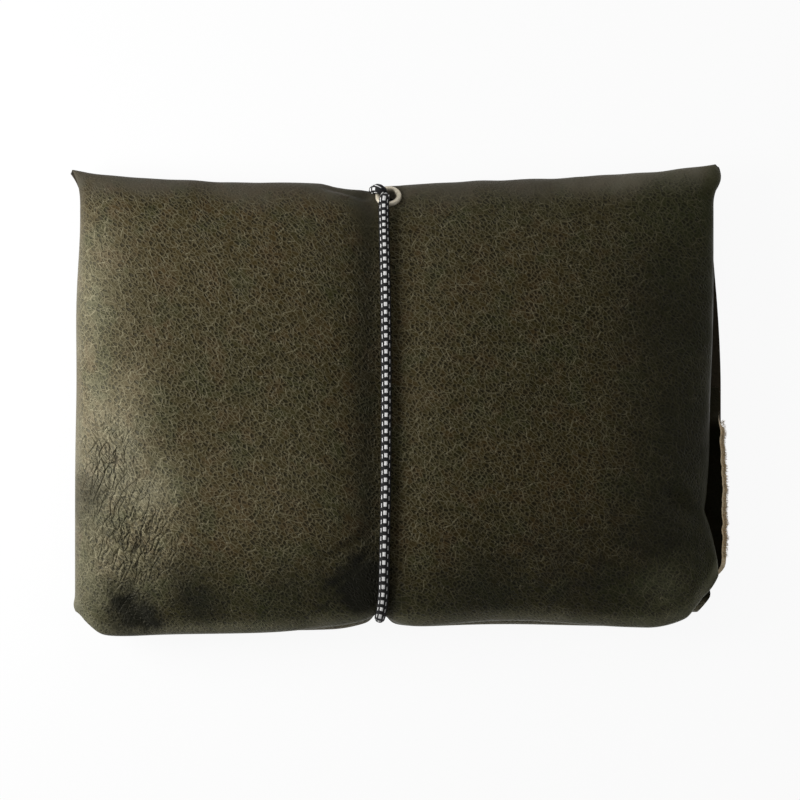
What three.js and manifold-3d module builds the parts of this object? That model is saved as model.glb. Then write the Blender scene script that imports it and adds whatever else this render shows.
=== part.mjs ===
// Soft leather needle case: a padded flap folds over stitched needle channels, and an elastic
// loop from an eyelet at the top edge holds it shut. It lies on its back, as it is photographed.
import * as THREE from "three";
import { mergeVertices } from "three/addons/utils/BufferGeometryUtils.js";
import Module from "manifold-3d";

// Driving dimensions in millimetres: X along the case, Y up the closed front, Z off the table
const CASE_WIDTH = 230; // left ear tip to the raw edge of the pocket panel
const CASE_LENGTH = 166; // bottom fold to the right ear tip
const CROWN_HEIGHT = 30; // table to the top of the padding
const LEATHER = 1.8; // hide thickness
const LINING = 1.2; // lining thickness
const THREAD = 0.9; // sewing thread diameter
const CLEARANCE = 0.3; // gap between touching pieces

// Flap
const EAR_REACH = 1.6; // ear tips past the flap's side edges
const RAW_EDGE_SHOW = 5.5; // pocket edge past the flap's right edge
const BOTTOM_SHOW = 1.8; // bottom fold past the flap's bottom edge
const WADDING_EDGE = 0.5; // thickness of the wadding at its rim
const DOME_POWER = 2.5; // fullness of the padding, 2 is a plain ellipse
const VALLEY_DEPTH = 6; // how far the elastic presses the padding in
const VALLEY_WIDTH = 16;
const PINCH_DEPTH = 3; // fold in the flap's right edge
const PINCH_WIDTH = 14;
const PINCH_Y = -40;
const CORNER_PULL_LEFT = 5; // rounding of the flap's bottom corners
const CORNER_PULL_RIGHT = 8;
const CORNER_SHARPNESS = 8;
const LINING_SETBACK = 6; // lining's top edge below the top fold

// Top and bottom folds
const FOLD_DEPTH = 17; // height of the folded strip at the top edge
const FOLD_BACKSET = 18; // centre of the fold's oval section below that strip
const TOP_SAG = 4.6; // dip of the top edge between the ears
const TOP_TILT = 1.2; // right ear higher and left ear lower than their mean
const EAR_RISE = 1.4; // pointed tips of the ears
const EAR_SHARPNESS = 12;
const TOP_NIP = 2.5; // dip of the top edge under the elastic
const TOP_NIP_WIDTH = 14;
const BOTTOM_TILT = 3.4; // rise of the bottom edge from left to right
const BOTTOM_NIP = 3.8; // rise of the bottom edge at the elastic
const BOTTOM_NIP_WIDTH = 18;

// Back and needle channels
const BACK_INSET = 1.2; // back panel inside the flap's left edge and the raw edge
const BACK_RISE = 5; // lift of the back where it meets the top fold
const BACK_RISE_LENGTH = 26;
const CHANNEL_HEIGHT = 6;
const CHANNELS_PER_SIDE = 4; // on each side of the elastic
const POCKET_MOUTH = 5; // Y of the channels' open end
const DIVIDER_HALF_WIDTH = 1.5; // flat strip beside each seam
const SIDE_MARGIN = 12; // outer seams from the case's sides
const CHANNEL_START = 14; // where the channels reach full form above the bottom fold
const RAW_EDGE_LIFT = 4; // the raw edge curls up
const RAW_EDGE_BOW = 2.5; // the raw edge bows out at the pinch
const RAW_EDGE_BOW_LENGTH = 40;
const CORNER_CUT = 8; // bottom corners of the pocket and back panels
const CORNER_CUT_LENGTH = 18;
const SEAM_END_GAP = 3; // seams stop short of the pocket mouth
const FLAP_SEAM_INSET = 4; // lining seam from the lining's edge

// Elastic and eyelet
const CORD_DIAMETER = 4;
const CORD_X = -5;
const GROOVE_HALF_WIDTH = 9; // hollow in the back over the elastic
const CORD_BEND_GAP = 1.2; // gap where the elastic bends round the folds
const EYELET_OFFSET = 1; // eyelet centre right of the elastic
const EYELET_FROM_FOLD = 5.6; // eyelet centre above the start of the top fold
const EYELET_BORE = 5.2;
const EYELET_WALL = 0.4;
const EYELET_FLANGE = 9.2;
const EYELET_FLANGE_HEIGHT = 1;
const EYELET_LIP = 0.5;
const WASHER_THICKNESS = 0.5;
const SEAT_RIM = 0.8; // flat leather seat past the flange
const SEAT_SINK = 0.8; // seat below the crest of the fold
const NECK_DIAMETER = 1.9; // elastic squeezed in the eyelet
const KNOT_TUBE = 0.7;
const KNOT_RING = 1.5;

// Mesh fineness, in counts
const BULGE_COLUMNS = 12;
const PADDING_ROWS = 12;
const FOLD_ROWS = 12;
const CORD_STEPS = 80;

// Places worked out from the driving dimensions
const caseLeft = -CASE_WIDTH / 2;
const caseRight = CASE_WIDTH / 2;
const caseTop = CASE_LENGTH / 2;
const caseBottom = -CASE_LENGTH / 2;
const cordRadius = CORD_DIAMETER / 2;
const foldLine = caseTop - FOLD_DEPTH;
const foldCentreY = foldLine - FOLD_BACKSET;
const liningTop = foldLine - LINING_SETBACK;
const pocketHeight = 2 * LEATHER + CHANNEL_HEIGHT;
const rimZ = pocketHeight + THREAD + 3 * CLEARANCE;
const waddingBase = rimZ + LINING + CLEARANCE;
const edgeZ = waddingBase + WADDING_EDGE + CLEARANCE;
const flapLeft = caseLeft + EAR_REACH;
const flapRight = caseRight - RAW_EDGE_SHOW;
const flapMiddle = (flapLeft + flapRight) / 2;
const flapHalf = (flapRight - flapLeft) / 2;
const cordFraction = (CORD_X - flapMiddle) / flapHalf;
const backLeft = flapLeft + BACK_INSET;
const bottomFoldLeft = backLeft + CORNER_CUT;
const grooveDepth = CORD_DIAMETER + 2 * CLEARANCE;
const riseStart = foldLine - BACK_RISE_LENGTH;

const { lerp, clamp, smoothstep } = THREE.MathUtils;
const bell = (distance, width) => Math.exp(-((distance / width) ** 2));
const dome = (t) => Math.sqrt(Math.max(0, 1 - Math.abs(t) ** DOME_POWER));
const steps = (count) => Array.from({ length: count + 1 }, (_, k) => k / count);

const wasm = await Module();
wasm.setup();

// Joins shared corners, drops triangles that closed up and turns the faces outward
function closedGeometry(positions, triangles) {
  const raw = new THREE.BufferGeometry();
  raw.setAttribute("position", new THREE.Float32BufferAttribute(positions, 3));
  raw.setIndex(triangles);
  const merged = mergeVertices(raw, 1e-4);
  const corners = merged.getIndex().array;
  const place = merged.getAttribute("position");
  const a = new THREE.Vector3();
  const b = new THREE.Vector3();
  const c = new THREE.Vector3();
  const kept = [];
  let volume = 0;
  for (let k = 0; k < corners.length; k += 3) {
    const [i, j, m] = [corners[k], corners[k + 1], corners[k + 2]];
    if (i === j || j === m || m === i) continue;
    a.fromBufferAttribute(place, i);
    b.fromBufferAttribute(place, j);
    c.fromBufferAttribute(place, m);
    volume += a.dot(b.cross(c));
    kept.push([i, j, m]);
  }
  merged.setIndex(kept.flatMap(([i, j, m]) => (volume > 0 ? [i, j, m] : [i, m, j])));
  return merged;
}

// A three.js geometry as a closed geometry with only positions
function closed(geometry) {
  const position = geometry.getAttribute("position");
  const index = geometry.getIndex();
  const triangles = index ? index.array : position.array.slice(0, position.count).map((_, k) => k);
  return closedGeometry(Array.from(position.array), Array.from(triangles));
}

// Solid between two sheets of points on one grid of columns and rows
function sheetGeometry(columns, rows, outerAt, innerAt) {
  const width = columns.length;
  const sheetSize = width * rows.length;
  const positions = [];
  for (const pointAt of [outerAt, innerAt]) {
    for (const row of rows) {
      for (const column of columns) {
        positions.push(...pointAt(column, row));
      }
    }
  }
  const triangles = [];
  const addQuad = (a, b, c, d) => triangles.push(a, b, c, a, c, d);
  for (let j = 0; j + 1 < rows.length; j += 1) {
    for (let i = 0; i + 1 < width; i += 1) {
      const corner = j * width + i;
      const under = corner + sheetSize;
      addQuad(corner, corner + 1, corner + width + 1, corner + width);
      addQuad(under, under + width, under + width + 1, under + 1);
    }
  }
  const lastRow = (rows.length - 1) * width;
  const border = [];
  for (let i = 0; i < width - 1; i += 1) border.push(i);
  for (let j = 0; j < rows.length - 1; j += 1) border.push(j * width + width - 1);
  for (let i = width - 1; i > 0; i -= 1) border.push(lastRow + i);
  for (let j = rows.length - 1; j > 0; j -= 1) border.push(j * width);
  border.forEach((here, k) => {
    const next = border[(k + 1) % border.length];
    addQuad(here, here + sheetSize, next + sheetSize, next);
  });
  return closedGeometry(positions, triangles);
}

function toSolid(geometry) {
  const vertProperties = Float32Array.from(geometry.getAttribute("position").array);
  const triVerts = Uint32Array.from(geometry.getIndex().array);
  return new wasm.Manifold(new wasm.Mesh({ numProp: 3, vertProperties, triVerts }));
}

function fromSolid(solid) {
  const mesh = solid.getMesh();
  return closedGeometry(Array.from(mesh.vertProperties), Array.from(mesh.triVerts));
}

function polygonShape(radius, sides) {
  const corners = steps(sides).slice(0, sides);
  const point = (part) => {
    const angle = 2 * Math.PI * part;
    return new THREE.Vector2(radius * Math.cos(angle), radius * Math.sin(angle));
  };
  return new THREE.Shape(corners.map(point));
}

function tubeGeometry(points, diameter, sides, stepCount) {
  const extrudePath = new THREE.CatmullRomCurve3(points);
  const options = { steps: stepCount, bevelEnabled: false, extrudePath };
  return closed(new THREE.ExtrudeGeometry(polygonShape(diameter / 2, sides), options));
}

const group = new THREE.Group();

function addPiece(name, geometry, look) {
  geometry.computeVertexNormals();
  const mesh = new THREE.Mesh(geometry, new THREE.MeshStandardMaterial(look));
  mesh.name = name;
  group.add(mesh);
}

// Looks of the materials
const leatherLook = { color: 0x463f2b, roughness: 0.6, metalness: 0 };
const pocketLook = { color: 0x5a4c33, roughness: 0.6, metalness: 0 };
const liningLook = { color: 0x6e5a3c, roughness: 0.95, metalness: 0 };
const waddingLook = { color: 0xd8d2c2, roughness: 0.95, metalness: 0 };
const threadLook = { color: 0x2c271b, roughness: 0.8, metalness: 0 };
const cordLook = { color: 0x1c1b1a, roughness: 0.8, metalness: 0 };
const metalLook = { color: 0xb5a88c, roughness: 0.35, metalness: 1 };

// Outline of the closed case
function topEdge(x) {
  const across = (x - flapMiddle) / flapHalf;
  const base = caseTop - TOP_TILT - EAR_RISE;
  const sag = TOP_SAG * (1 - across ** 2);
  const ear = EAR_RISE * Math.abs(across) ** EAR_SHARPNESS;
  return base + TOP_TILT * across + ear - sag - TOP_NIP * bell(x - CORD_X, TOP_NIP_WIDTH);
}

function bottomEdge(x) {
  const tilt = (BOTTOM_TILT * (x - bottomFoldLeft)) / CASE_WIDTH;
  return caseBottom + tilt + BOTTOM_NIP * bell(x - CORD_X, BOTTOM_NIP_WIDTH);
}

const flapBottom = (x) => bottomEdge(x) + BOTTOM_SHOW;
const flapRightAt = (y) => flapRight - PINCH_DEPTH * bell(y - PINCH_Y, PINCH_WIDTH);

// Front of the flap: f runs from -1 at the left edge over 0 at the elastic to 1 at the right edge,
// t from 0 at the bottom edge over 1 at the lining's top edge to 2 at the top fold
const columnX = (f, left, right) => (f < 0 ? lerp(CORD_X, left, -f) : lerp(CORD_X, right, f));
const columnU = (f) => (f < 0 ? lerp(cordFraction, -1, -f) : lerp(cordFraction, 1, f));

function flapPlace(f, t, inset) {
  const plainX = columnX(f, flapLeft + inset, flapRight - inset);
  const low = flapBottom(plainX) + inset;
  const high = topEdge(plainX) - inset;
  const panelTop = foldLine - CLEARANCE;
  const y = t <= 1 ? lerp(low, liningTop, t) : lerp(liningTop, panelTop, t - 1);
  const corner = (Math.abs(f) * (1 - Math.min(t, 1))) ** CORNER_SHARPNESS;
  const pull = corner * (f < 0 ? CORNER_PULL_LEFT : CORNER_PULL_RIGHT);
  const x = columnX(f, flapLeft + inset, flapRightAt(y) - inset) - Math.sign(f) * pull;
  const w = (2 * y - high - low) / (high - low);
  return { x, y: y + pull, u: columnU(f), w };
}

function frontHeight(u, w, x, inset, edge) {
  const lift = (CROWN_HEIGHT - inset - edge) * dome(u) * dome(w);
  return edge + lift - VALLEY_DEPTH * bell(x - CORD_X, VALLEY_WIDTH) * dome(w) ** 2;
}

const bulgeParts = steps(BULGE_COLUMNS).map((k) => (1 - Math.cos(Math.PI * k)) / 2);
const flapColumns = [...bulgeParts.toReversed().map((f) => -f), ...bulgeParts.slice(1)];
const paddingRows = steps(PADDING_ROWS).map((k) => 1 - Math.cos((Math.PI / 2) * k));
const panelRows = [...paddingRows, 1.5, 2];

function paddedPoint(f, t, inset, edge) {
  const { x, y, u, w } = flapPlace(f, t, inset);
  return [x, y, frontHeight(u, w, x, inset, edge)];
}

// Front leather: crowned shell whose turned rim stands on the lining's level
function makeFrontPanel() {
  const columns = [{ f: -1, rim: true }, ...flapColumns.map((f) => ({ f })), { f: 1, rim: true }];
  const rows = [{ t: 0, rim: true }, ...panelRows.map((t) => ({ t }))];
  const shell = (inset) => (column, row) => {
    const [x, y, z] = paddedPoint(column.f, row.t, inset, edgeZ);
    return [x, y, column.rim || row.rim ? rimZ : z];
  };
  addPiece("front_panel", sheetGeometry(columns, rows, shell(0), shell(LEATHER)), leatherLook);
}

function makeWadding() {
  const inset = LEATHER + CLEARANCE;
  const upper = (f, t) => paddedPoint(f, t, inset, edgeZ - CLEARANCE);
  const lower = (f, t) => {
    const { x, y } = flapPlace(f, t, inset);
    return [x, y, waddingBase];
  };
  addPiece("front_wadding", sheetGeometry(flapColumns, paddingRows, upper, lower), waddingLook);
}

// Left, bottom and right border of the flap, from the lining's top edge round and back up to it
function flapBorder(inset) {
  const left = paddingRows.toReversed().map((t) => flapPlace(-1, t, inset));
  const bottom = flapColumns.slice(1, -1).map((f) => flapPlace(f, 0, inset));
  const right = paddingRows.map((t) => flapPlace(1, t, inset));
  return [...left, ...bottom, ...right];
}

function makeLining() {
  const outline = flapBorder(LEATHER + CLEARANCE).map(({ x, y }) => new THREE.Vector2(x, y));
  const options = { depth: LINING, bevelEnabled: false };
  const geometry = closed(new THREE.ExtrudeGeometry(new THREE.Shape(outline), options));
  geometry.translate(0, 0, rimZ);
  addPiece("front_lining", geometry, liningLook);

  const seamZ = rimZ - CLEARANCE - THREAD / 2;
  const border = flapBorder(LEATHER + CLEARANCE + FLAP_SEAM_INSET);
  const everyOther = border.filter((_, k) => k % 2 === 0);
  const route = everyOther.map(({ x, y }) => new THREE.Vector3(x, y, seamZ));
  addPiece("flap_seam", tubeGeometry(route, THREAD, 6, 2 * route.length), threadLook);
}

// Underside of the back: flat on the table, hollow over the elastic, lifted towards the top fold
function groove(x) {
  const across = clamp((x - CORD_X) / GROOVE_HALF_WIDTH, -1, 1);
  return grooveDepth * (1 - across ** 2) ** 2;
}

function backHeight(x, y) {
  const rise = BACK_RISE * clamp((y - riseStart) / BACK_RISE_LENGTH, 0, 1) ** 2;
  return rise + groove(x) * (1 - rise / BACK_RISE);
}

// Oval section of the top fold at column f, leaning from the front panel to the back panel
function foldSection(f, inset) {
  const x = columnX(f, flapLeft, flapRight);
  const low = flapBottom(x);
  const high = topEdge(x);
  const w = (2 * foldLine - high - low) / (high - low);
  const front = frontHeight(columnU(f), w, x, 0, edgeZ) - inset;
  const back = backHeight(x, foldLine) + inset;
  const reach = high - inset - foldCentreY;
  const startAngle = Math.asin(FOLD_BACKSET / reach);
  const halfHeight = (front - back) / 2 / Math.cos(startAngle);
  return { x, reach, startAngle, halfHeight, middle: (front + back) / 2 };
}

function foldPoint(f, part, inset) {
  const section = foldSection(f, inset);
  const angle = lerp(section.startAngle, Math.PI - section.startAngle, part);
  const y = foldCentreY + section.reach * Math.sin(angle);
  const rise = (y - foldLine) / (section.reach - FOLD_BACKSET);
  const flare = EAR_REACH * rise * Math.abs(f) ** EAR_SHARPNESS;
  return [section.x + Math.sign(f) * flare, y, section.middle + section.halfHeight * Math.cos(angle)];
}

// Eyelet seat: a flat disc in the fold with its own axes, outward and up the slope
const eyeletX = CORD_X + EYELET_OFFSET;
const eyeletSection = foldSection((eyeletX - CORD_X) / (flapRight - CORD_X), 0);
const eyeletAngle = Math.PI - Math.asin((FOLD_BACKSET + EYELET_FROM_FOLD) / eyeletSection.reach);
const eyeletRise = -eyeletSection.halfHeight * Math.cos(eyeletAngle);
const outward = new THREE.Vector3(
  0,
  eyeletSection.halfHeight * Math.sin(eyeletAngle),
  -eyeletSection.reach * Math.cos(eyeletAngle),
).normalize();
const overTop = new THREE.Vector3(0, outward.z, -outward.y);
const seatCentre = new THREE.Vector3(
  eyeletX,
  foldLine + EYELET_FROM_FOLD,
  eyeletSection.middle + eyeletRise,
).addScaledVector(outward, -SEAT_SINK);
const seatTurn = new THREE.Quaternion().setFromUnitVectors(new THREE.Vector3(0, 0, 1), outward);
const seatMatrix = new THREE.Matrix4().compose(seatCentre, seatTurn, new THREE.Vector3(1, 1, 1));

// Plain cylinder on the eyelet's axis between two heights above the seat
function seatCylinder(radius, low, high) {
  const geometry = new THREE.CylinderGeometry(radius, radius, high - low, 32);
  geometry.rotateX(Math.PI / 2);
  geometry.translate(0, 0, (low + high) / 2);
  return closed(geometry.applyMatrix4(seatMatrix));
}

const barrelRadius = EYELET_BORE / 2 + EYELET_WALL;
const flangeRadius = EYELET_FLANGE / 2;
const seatRadius = flangeRadius + SEAT_RIM;
const washerTop = -LEATHER - CLEARANCE;
const lipTop = washerTop - WASHER_THICKNESS - CLEARANCE;
const barrelEnd = lipTop - EYELET_LIP;

function makeTopFold() {
  const parts = steps(FOLD_ROWS);
  const turn = (inset) => (f, part) => foldPoint(f, part, inset);
  const strip = sheetGeometry(flapColumns, parts, turn(0), turn(LEATHER));
  const freeRadius = flangeRadius + CLEARANCE;
  const solid = toSolid(strip)
    .add(toSolid(seatCylinder(seatRadius, -LEATHER, 0)))
    .subtract(toSolid(seatCylinder(freeRadius, 0, seatRadius)))
    .subtract(toSolid(seatCylinder(freeRadius, -LEATHER - freeRadius, -LEATHER)))
    .subtract(toSolid(seatCylinder(barrelRadius + CLEARANCE, -seatRadius, seatRadius)));
  addPiece("top_fold", fromSolid(solid), leatherLook);
}

// Ring turned about the eyelet's axis from a profile of radius and height, set on the seat
function addRing(name, profile) {
  const points = [...profile, profile[0]].map(([radius, height]) => new THREE.Vector2(radius, height));
  const geometry = new THREE.LatheGeometry(points, 24);
  geometry.rotateX(Math.PI / 2);
  addPiece(name, closed(geometry.applyMatrix4(seatMatrix)), metalLook);
}

function makeEyelet() {
  const boreRadius = EYELET_BORE / 2;
  const flangeTop = CLEARANCE + EYELET_FLANGE_HEIGHT;
  const crestRadius = (boreRadius + flangeRadius) / 2;
  addRing("eyelet", [
    [boreRadius, barrelEnd],
    [barrelRadius + EYELET_LIP, barrelEnd],
    [barrelRadius + EYELET_LIP, lipTop],
    [barrelRadius, lipTop],
    [barrelRadius, CLEARANCE],
    [flangeRadius, CLEARANCE],
    [flangeRadius, lerp(CLEARANCE, flangeTop, 0.4)],
    [crestRadius, flangeTop],
    [boreRadius, lerp(CLEARANCE, flangeTop, 0.5)],
  ]);
  const washerBore = barrelRadius + CLEARANCE;
  addRing("eyelet_washer", [
    [washerBore, washerTop - WASHER_THICKNESS],
    [flangeRadius, washerTop - WASHER_THICKNESS],
    [flangeRadius, washerTop],
    [washerBore, washerTop],
  ]);
}

// Knot inside the fold, with the two squeezed ends of the elastic through the eyelet
function makeKnot() {
  const neckTop = CLEARANCE + EYELET_FLANGE_HEIGHT;
  const neckOffset = NECK_DIAMETER / 2 + CLEARANCE / 2;
  const knotReach = KNOT_RING / 2 + KNOT_TUBE;
  const knotCentre = barrelEnd - CLEARANCE - knotReach;
  const knot = new THREE.TorusKnotGeometry(KNOT_RING, KNOT_TUBE, 48, 8);
  knot.translate(0, 0, knotCentre);
  let solid = toSolid(closed(knot.applyMatrix4(seatMatrix)));
  for (const side of [-1, 1]) {
    const neck = new THREE.CylinderGeometry(NECK_DIAMETER / 2, NECK_DIAMETER / 2, neckTop - knotCentre, 10);
    neck.rotateX(Math.PI / 2);
    neck.translate(0, side * neckOffset, (neckTop + knotCentre) / 2);
    solid = solid.add(toSolid(closed(neck.applyMatrix4(seatMatrix))));
  }
  addPiece("elastic_knot", fromSolid(solid), cordLook);
}

// Elastic: from the eyelet down the front, round the bottom, up the back and over the top
function frontCordPoint(y) {
  const low = flapBottom(CORD_X);
  const high = topEdge(CORD_X);
  const w = (2 * y - high - low) / (high - low);
  return [y, frontHeight(cordFraction, w, CORD_X, 0, edgeZ) + cordRadius + CLEARANCE];
}

function topCordPoint(angle) {
  const { reach, halfHeight, middle } = foldSection(0, 0);
  const gap = cordRadius + CORD_BEND_GAP + CLEARANCE;
  const y = foldCentreY + (reach + gap) * Math.sin(angle);
  return [y, middle + (halfHeight + gap) * Math.cos(angle)];
}

function makeElastic() {
  const startHeight = 2 * CLEARANCE + EYELET_FLANGE_HEIGHT + cordRadius;
  const overEyelet = seatCentre.clone().addScaledVector(outward, startHeight);
  const besideEyelet = (distance) => overEyelet.clone().addScaledVector(overTop, distance);
  const flapLow = flapBottom(CORD_X);
  const frontYs = steps(6).map((part) => lerp(liningTop, flapLow + 6 * cordRadius, part));
  const foldLow = bottomEdge(CORD_X) - cordRadius - CORD_BEND_GAP;
  const foldZ = (grooveDepth + pocketHeight) / 2;
  const underZ = grooveDepth - CLEARANCE - cordRadius;
  const bend = foldZ - underZ;
  const bendPoint = (angle) => [foldLow + bend * (1 - Math.cos(angle)), foldZ - bend * Math.sin(angle)];
  const route = [
    ...frontYs.map(frontCordPoint),
    [flapLow + cordRadius, edgeZ + 4.5 * cordRadius],
    [flapLow - cordRadius - CORD_BEND_GAP, edgeZ + cordRadius],
    [foldLow, pocketHeight],
    ...steps(3).map((part) => bendPoint((Math.PI / 2) * part)),
    ...steps(3).map((part) => [lerp(foldLow + 3 * bend, riseStart, part), underZ]),
    [foldLine - BACK_RISE_LENGTH / 2, underZ],
    [foldLine - cordRadius, underZ],
    ...[0.65, 0.58, 0.5].map((part) => topCordPoint(Math.PI * part)),
  ];
  const points = [
    besideEyelet(-CLEARANCE),
    besideEyelet(-flangeRadius - CLEARANCE),
    ...route.map(([y, z]) => new THREE.Vector3(CORD_X, y, z)),
    besideEyelet(flangeRadius + CLEARANCE),
    besideEyelet(CLEARANCE),
  ];
  addPiece("elastic_loop", tubeGeometry(points, CORD_DIAMETER, 10, CORD_STEPS), cordLook);
}

// Bottom fold: the hide turns up in a half round that flattens over the elastic
function foldRadius(x) {
  return (pocketHeight - groove(x)) / 2;
}

const foldJoin = (x) => bottomEdge(x) + foldRadius(x);

function cornerCut(y) {
  const cornerTop = foldJoin(caseLeft) + CORNER_CUT_LENGTH;
  return CORNER_CUT * clamp((cornerTop - y) / CORNER_CUT_LENGTH, 0, 1) ** 2;
}

const pocketLeftAt = (y) => backLeft + cornerCut(y);

function rawEdgeAt(y) {
  const bow = RAW_EDGE_BOW * ((y - PINCH_Y) / RAW_EDGE_BOW_LENGTH) ** 2;
  return caseRight - bow - cornerCut(y);
}

// The back's right edge follows the raw edge below the pinch and draws in to the top fold above it
function backRightAt(y) {
  if (y < PINCH_Y) return rawEdgeAt(y) - BACK_INSET;
  return caseRight - BACK_INSET - RAW_EDGE_SHOW * ((y - PINCH_Y) / (foldLine - PINCH_Y)) ** 2;
}

const grooveXs = [-1, -0.65, -0.35, 0, 0.35, 0.65, 1].map((part) => CORD_X + part * GROOVE_HALF_WIDTH);

function makeBottomFold() {
  const leftXs = steps(16).map((k) => lerp(bottomFoldLeft, grooveXs[0], k));
  const rightXs = steps(16).map((k) => lerp(grooveXs.at(-1), rawEdgeAt(caseBottom), k));
  const columns = [...leftXs, ...grooveXs.slice(1, -1), ...rightXs];
  const turn = (inset) => (x, part) => {
    const radius = foldRadius(x) - inset;
    const angle = Math.PI * (part - 0.5);
    const middle = (pocketHeight + groove(x)) / 2;
    return [x, foldJoin(x) - radius * Math.cos(angle), middle + radius * Math.sin(angle)];
  };
  addPiece("bottom_fold", sheetGeometry(columns, steps(8), turn(0), turn(LEATHER)), leatherLook);
}

function makeBackPanel() {
  const leftParts = steps(4).slice(0, -1);
  const rightParts = steps(4).slice(1);
  const columns = [
    ...leftParts.map((part) => ({ side: "left", part })),
    ...grooveXs.map((x) => ({ x })),
    ...rightParts.map((part) => ({ side: "right", part })),
  ];
  const flatRows = steps(5).map((k) => ({ flat: k }));
  const riseRows = steps(5).slice(1).map((k) => ({ rise: k }));
  const place = (column, row) => {
    const joinX = column.x ?? (column.side === "left" ? grooveXs[0] : grooveXs.at(-1));
    const low = foldJoin(joinX) + CLEARANCE;
    const y = row.rise ? lerp(riseStart, foldLine - CLEARANCE, row.rise) : lerp(low, riseStart, row.flat);
    if (column.side === "left") return [lerp(pocketLeftAt(y), grooveXs[0], column.part), y];
    if (column.side === "right") return [lerp(grooveXs.at(-1), backRightAt(y), column.part), y];
    return [column.x, y];
  };
  const level = (inset) => (column, row) => {
    const [x, y] = place(column, row);
    return [x, y, backHeight(x, y) + inset];
  };
  const geometry = sheetGeometry(columns, [...flatRows, ...riseRows], level(LEATHER), level(0));
  addPiece("back_panel", geometry, leatherLook);
}

// Needle channels: seams at fixed places, arches of leather between them
const leftSeam = caseLeft + SIDE_MARGIN;
const rightSeam = caseRight - SIDE_MARGIN;
const leftSeams = steps(CHANNELS_PER_SIDE).map((k) => lerp(leftSeam, grooveXs[0], k));
const rightSeams = steps(CHANNELS_PER_SIDE).map((k) => lerp(grooveXs.at(-1), rightSeam, k));
const pocketFloor = LEATHER + CLEARANCE;

// Columns of one channel as places and shares of full height
function channelColumns(from, to) {
  const reach = (to - from) / 2 - DIVIDER_HALF_WIDTH;
  const half = [0, 0.15, 0.5].map((part) => {
    const arch = Math.sqrt(1 - (1 - part) ** 4);
    return { offset: DIVIDER_HALF_WIDTH + part * reach, arch };
  });
  const rising = half.map(({ offset, arch }) => ({ x: from + offset, arch }));
  const falling = half.toReversed().map(({ offset, arch }) => ({ x: to - offset, arch }));
  return [{ x: from, arch: 0 }, ...rising, { x: (from + to) / 2, arch: 1 }, ...falling];
}

const channelRow = (seams) => seams.slice(0, -1).flatMap((x, k) => channelColumns(x, seams[k + 1]));
const flatColumns = (xs) => xs.map((x) => ({ x, arch: 0 }));

// The pocket panel in two halves, which part under the elastic
function makePocketPanels() {
  const middle = (grooveXs.length - 1) / 2;
  const halfGap = CLEARANCE / 2;
  makePocketPanel("pocket_panel_left", [
    { margin: "left", part: 1, arch: 0 },
    ...channelRow(leftSeams),
    ...flatColumns([...grooveXs.slice(0, middle), CORD_X - halfGap]),
  ]);
  makePocketPanel("pocket_panel_right", [
    ...flatColumns([CORD_X + halfGap, ...grooveXs.slice(middle + 1, -1)]),
    ...channelRow(rightSeams),
    { x: rightSeam, arch: 0 },
    ...[0.25, 0.6, 1].map((part) => ({ margin: "right", part, arch: 0 })),
  ]);
}

function makePocketPanel(name, columns) {
  const rows = [0, 0.4, 0.75, 1, 2, 2.5, 3];
  const surface = (inset) => (column, row) => {
    const seam = column.margin === "left" ? leftSeam : rightSeam;
    const low = foldJoin(column.x ?? seam) + CLEARANCE;
    const full = low + CHANNEL_START;
    const stops = [low, full, PINCH_Y, POCKET_MOUTH];
    const stop = Math.min(Math.floor(row), 2);
    const y = lerp(stops[stop], stops[stop + 1], row - stop);
    const edge = column.margin === "left" ? pocketLeftAt(y) : rawEdgeAt(y);
    const x = column.x ?? lerp(seam, edge, column.part);
    const floor = pocketFloor + groove(x);
    const fade = smoothstep(row, 0, 1);
    const curl = column.margin === "right" ? RAW_EDGE_LIFT * column.part ** 2 : 0;
    const share = 1 - (1 - column.arch) * fade;
    const crest = LEATHER + CHANNEL_HEIGHT;
    return [x, y, floor + (crest - floor) * share + curl * fade + inset];
  };
  const geometry = sheetGeometry(columns, rows, surface(LEATHER), surface(0));
  addPiece(name, geometry, pocketLook);
}

function makePocketSeams() {
  const seamZ = pocketFloor + LEATHER + CLEARANCE + THREAD / 2;
  [...leftSeams, ...rightSeams].forEach((x, k) => {
    const low = foldJoin(x) + CLEARANCE + CHANNEL_START;
    const high = POCKET_MOUTH - SEAM_END_GAP;
    const seam = new THREE.CylinderGeometry(THREAD / 2, THREAD / 2, high - low, 8);
    seam.translate(x, (low + high) / 2, seamZ);
    addPiece(`pocket_seam_${k + 1}`, closed(seam), threadLook);
  });
}

makeFrontPanel();
makeWadding();
makeLining();
makeTopFold();
makeEyelet();
makeKnot();
makeElastic();
makeBackPanel();
makeBottomFold();
makePocketPanels();
makePocketSeams();

export default group;
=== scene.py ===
# Soft leather needle case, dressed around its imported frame: padded flap, fold, needle channels,
# eyelet and elastic. Lengths in this file are millimetres until a mesh is made from them.
import math

import bpy
import numpy as np
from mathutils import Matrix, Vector, noise


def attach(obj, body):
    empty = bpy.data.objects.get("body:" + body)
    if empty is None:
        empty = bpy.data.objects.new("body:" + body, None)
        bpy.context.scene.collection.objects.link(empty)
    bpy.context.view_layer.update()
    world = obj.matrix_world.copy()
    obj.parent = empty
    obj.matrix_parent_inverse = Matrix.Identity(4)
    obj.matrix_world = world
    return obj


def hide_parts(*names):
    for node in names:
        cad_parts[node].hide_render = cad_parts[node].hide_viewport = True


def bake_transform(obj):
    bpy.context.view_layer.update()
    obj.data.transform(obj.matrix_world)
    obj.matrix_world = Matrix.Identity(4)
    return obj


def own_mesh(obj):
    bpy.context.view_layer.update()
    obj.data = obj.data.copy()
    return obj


MM = 0.001
FULL_TURN = 2 * math.pi

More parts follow.
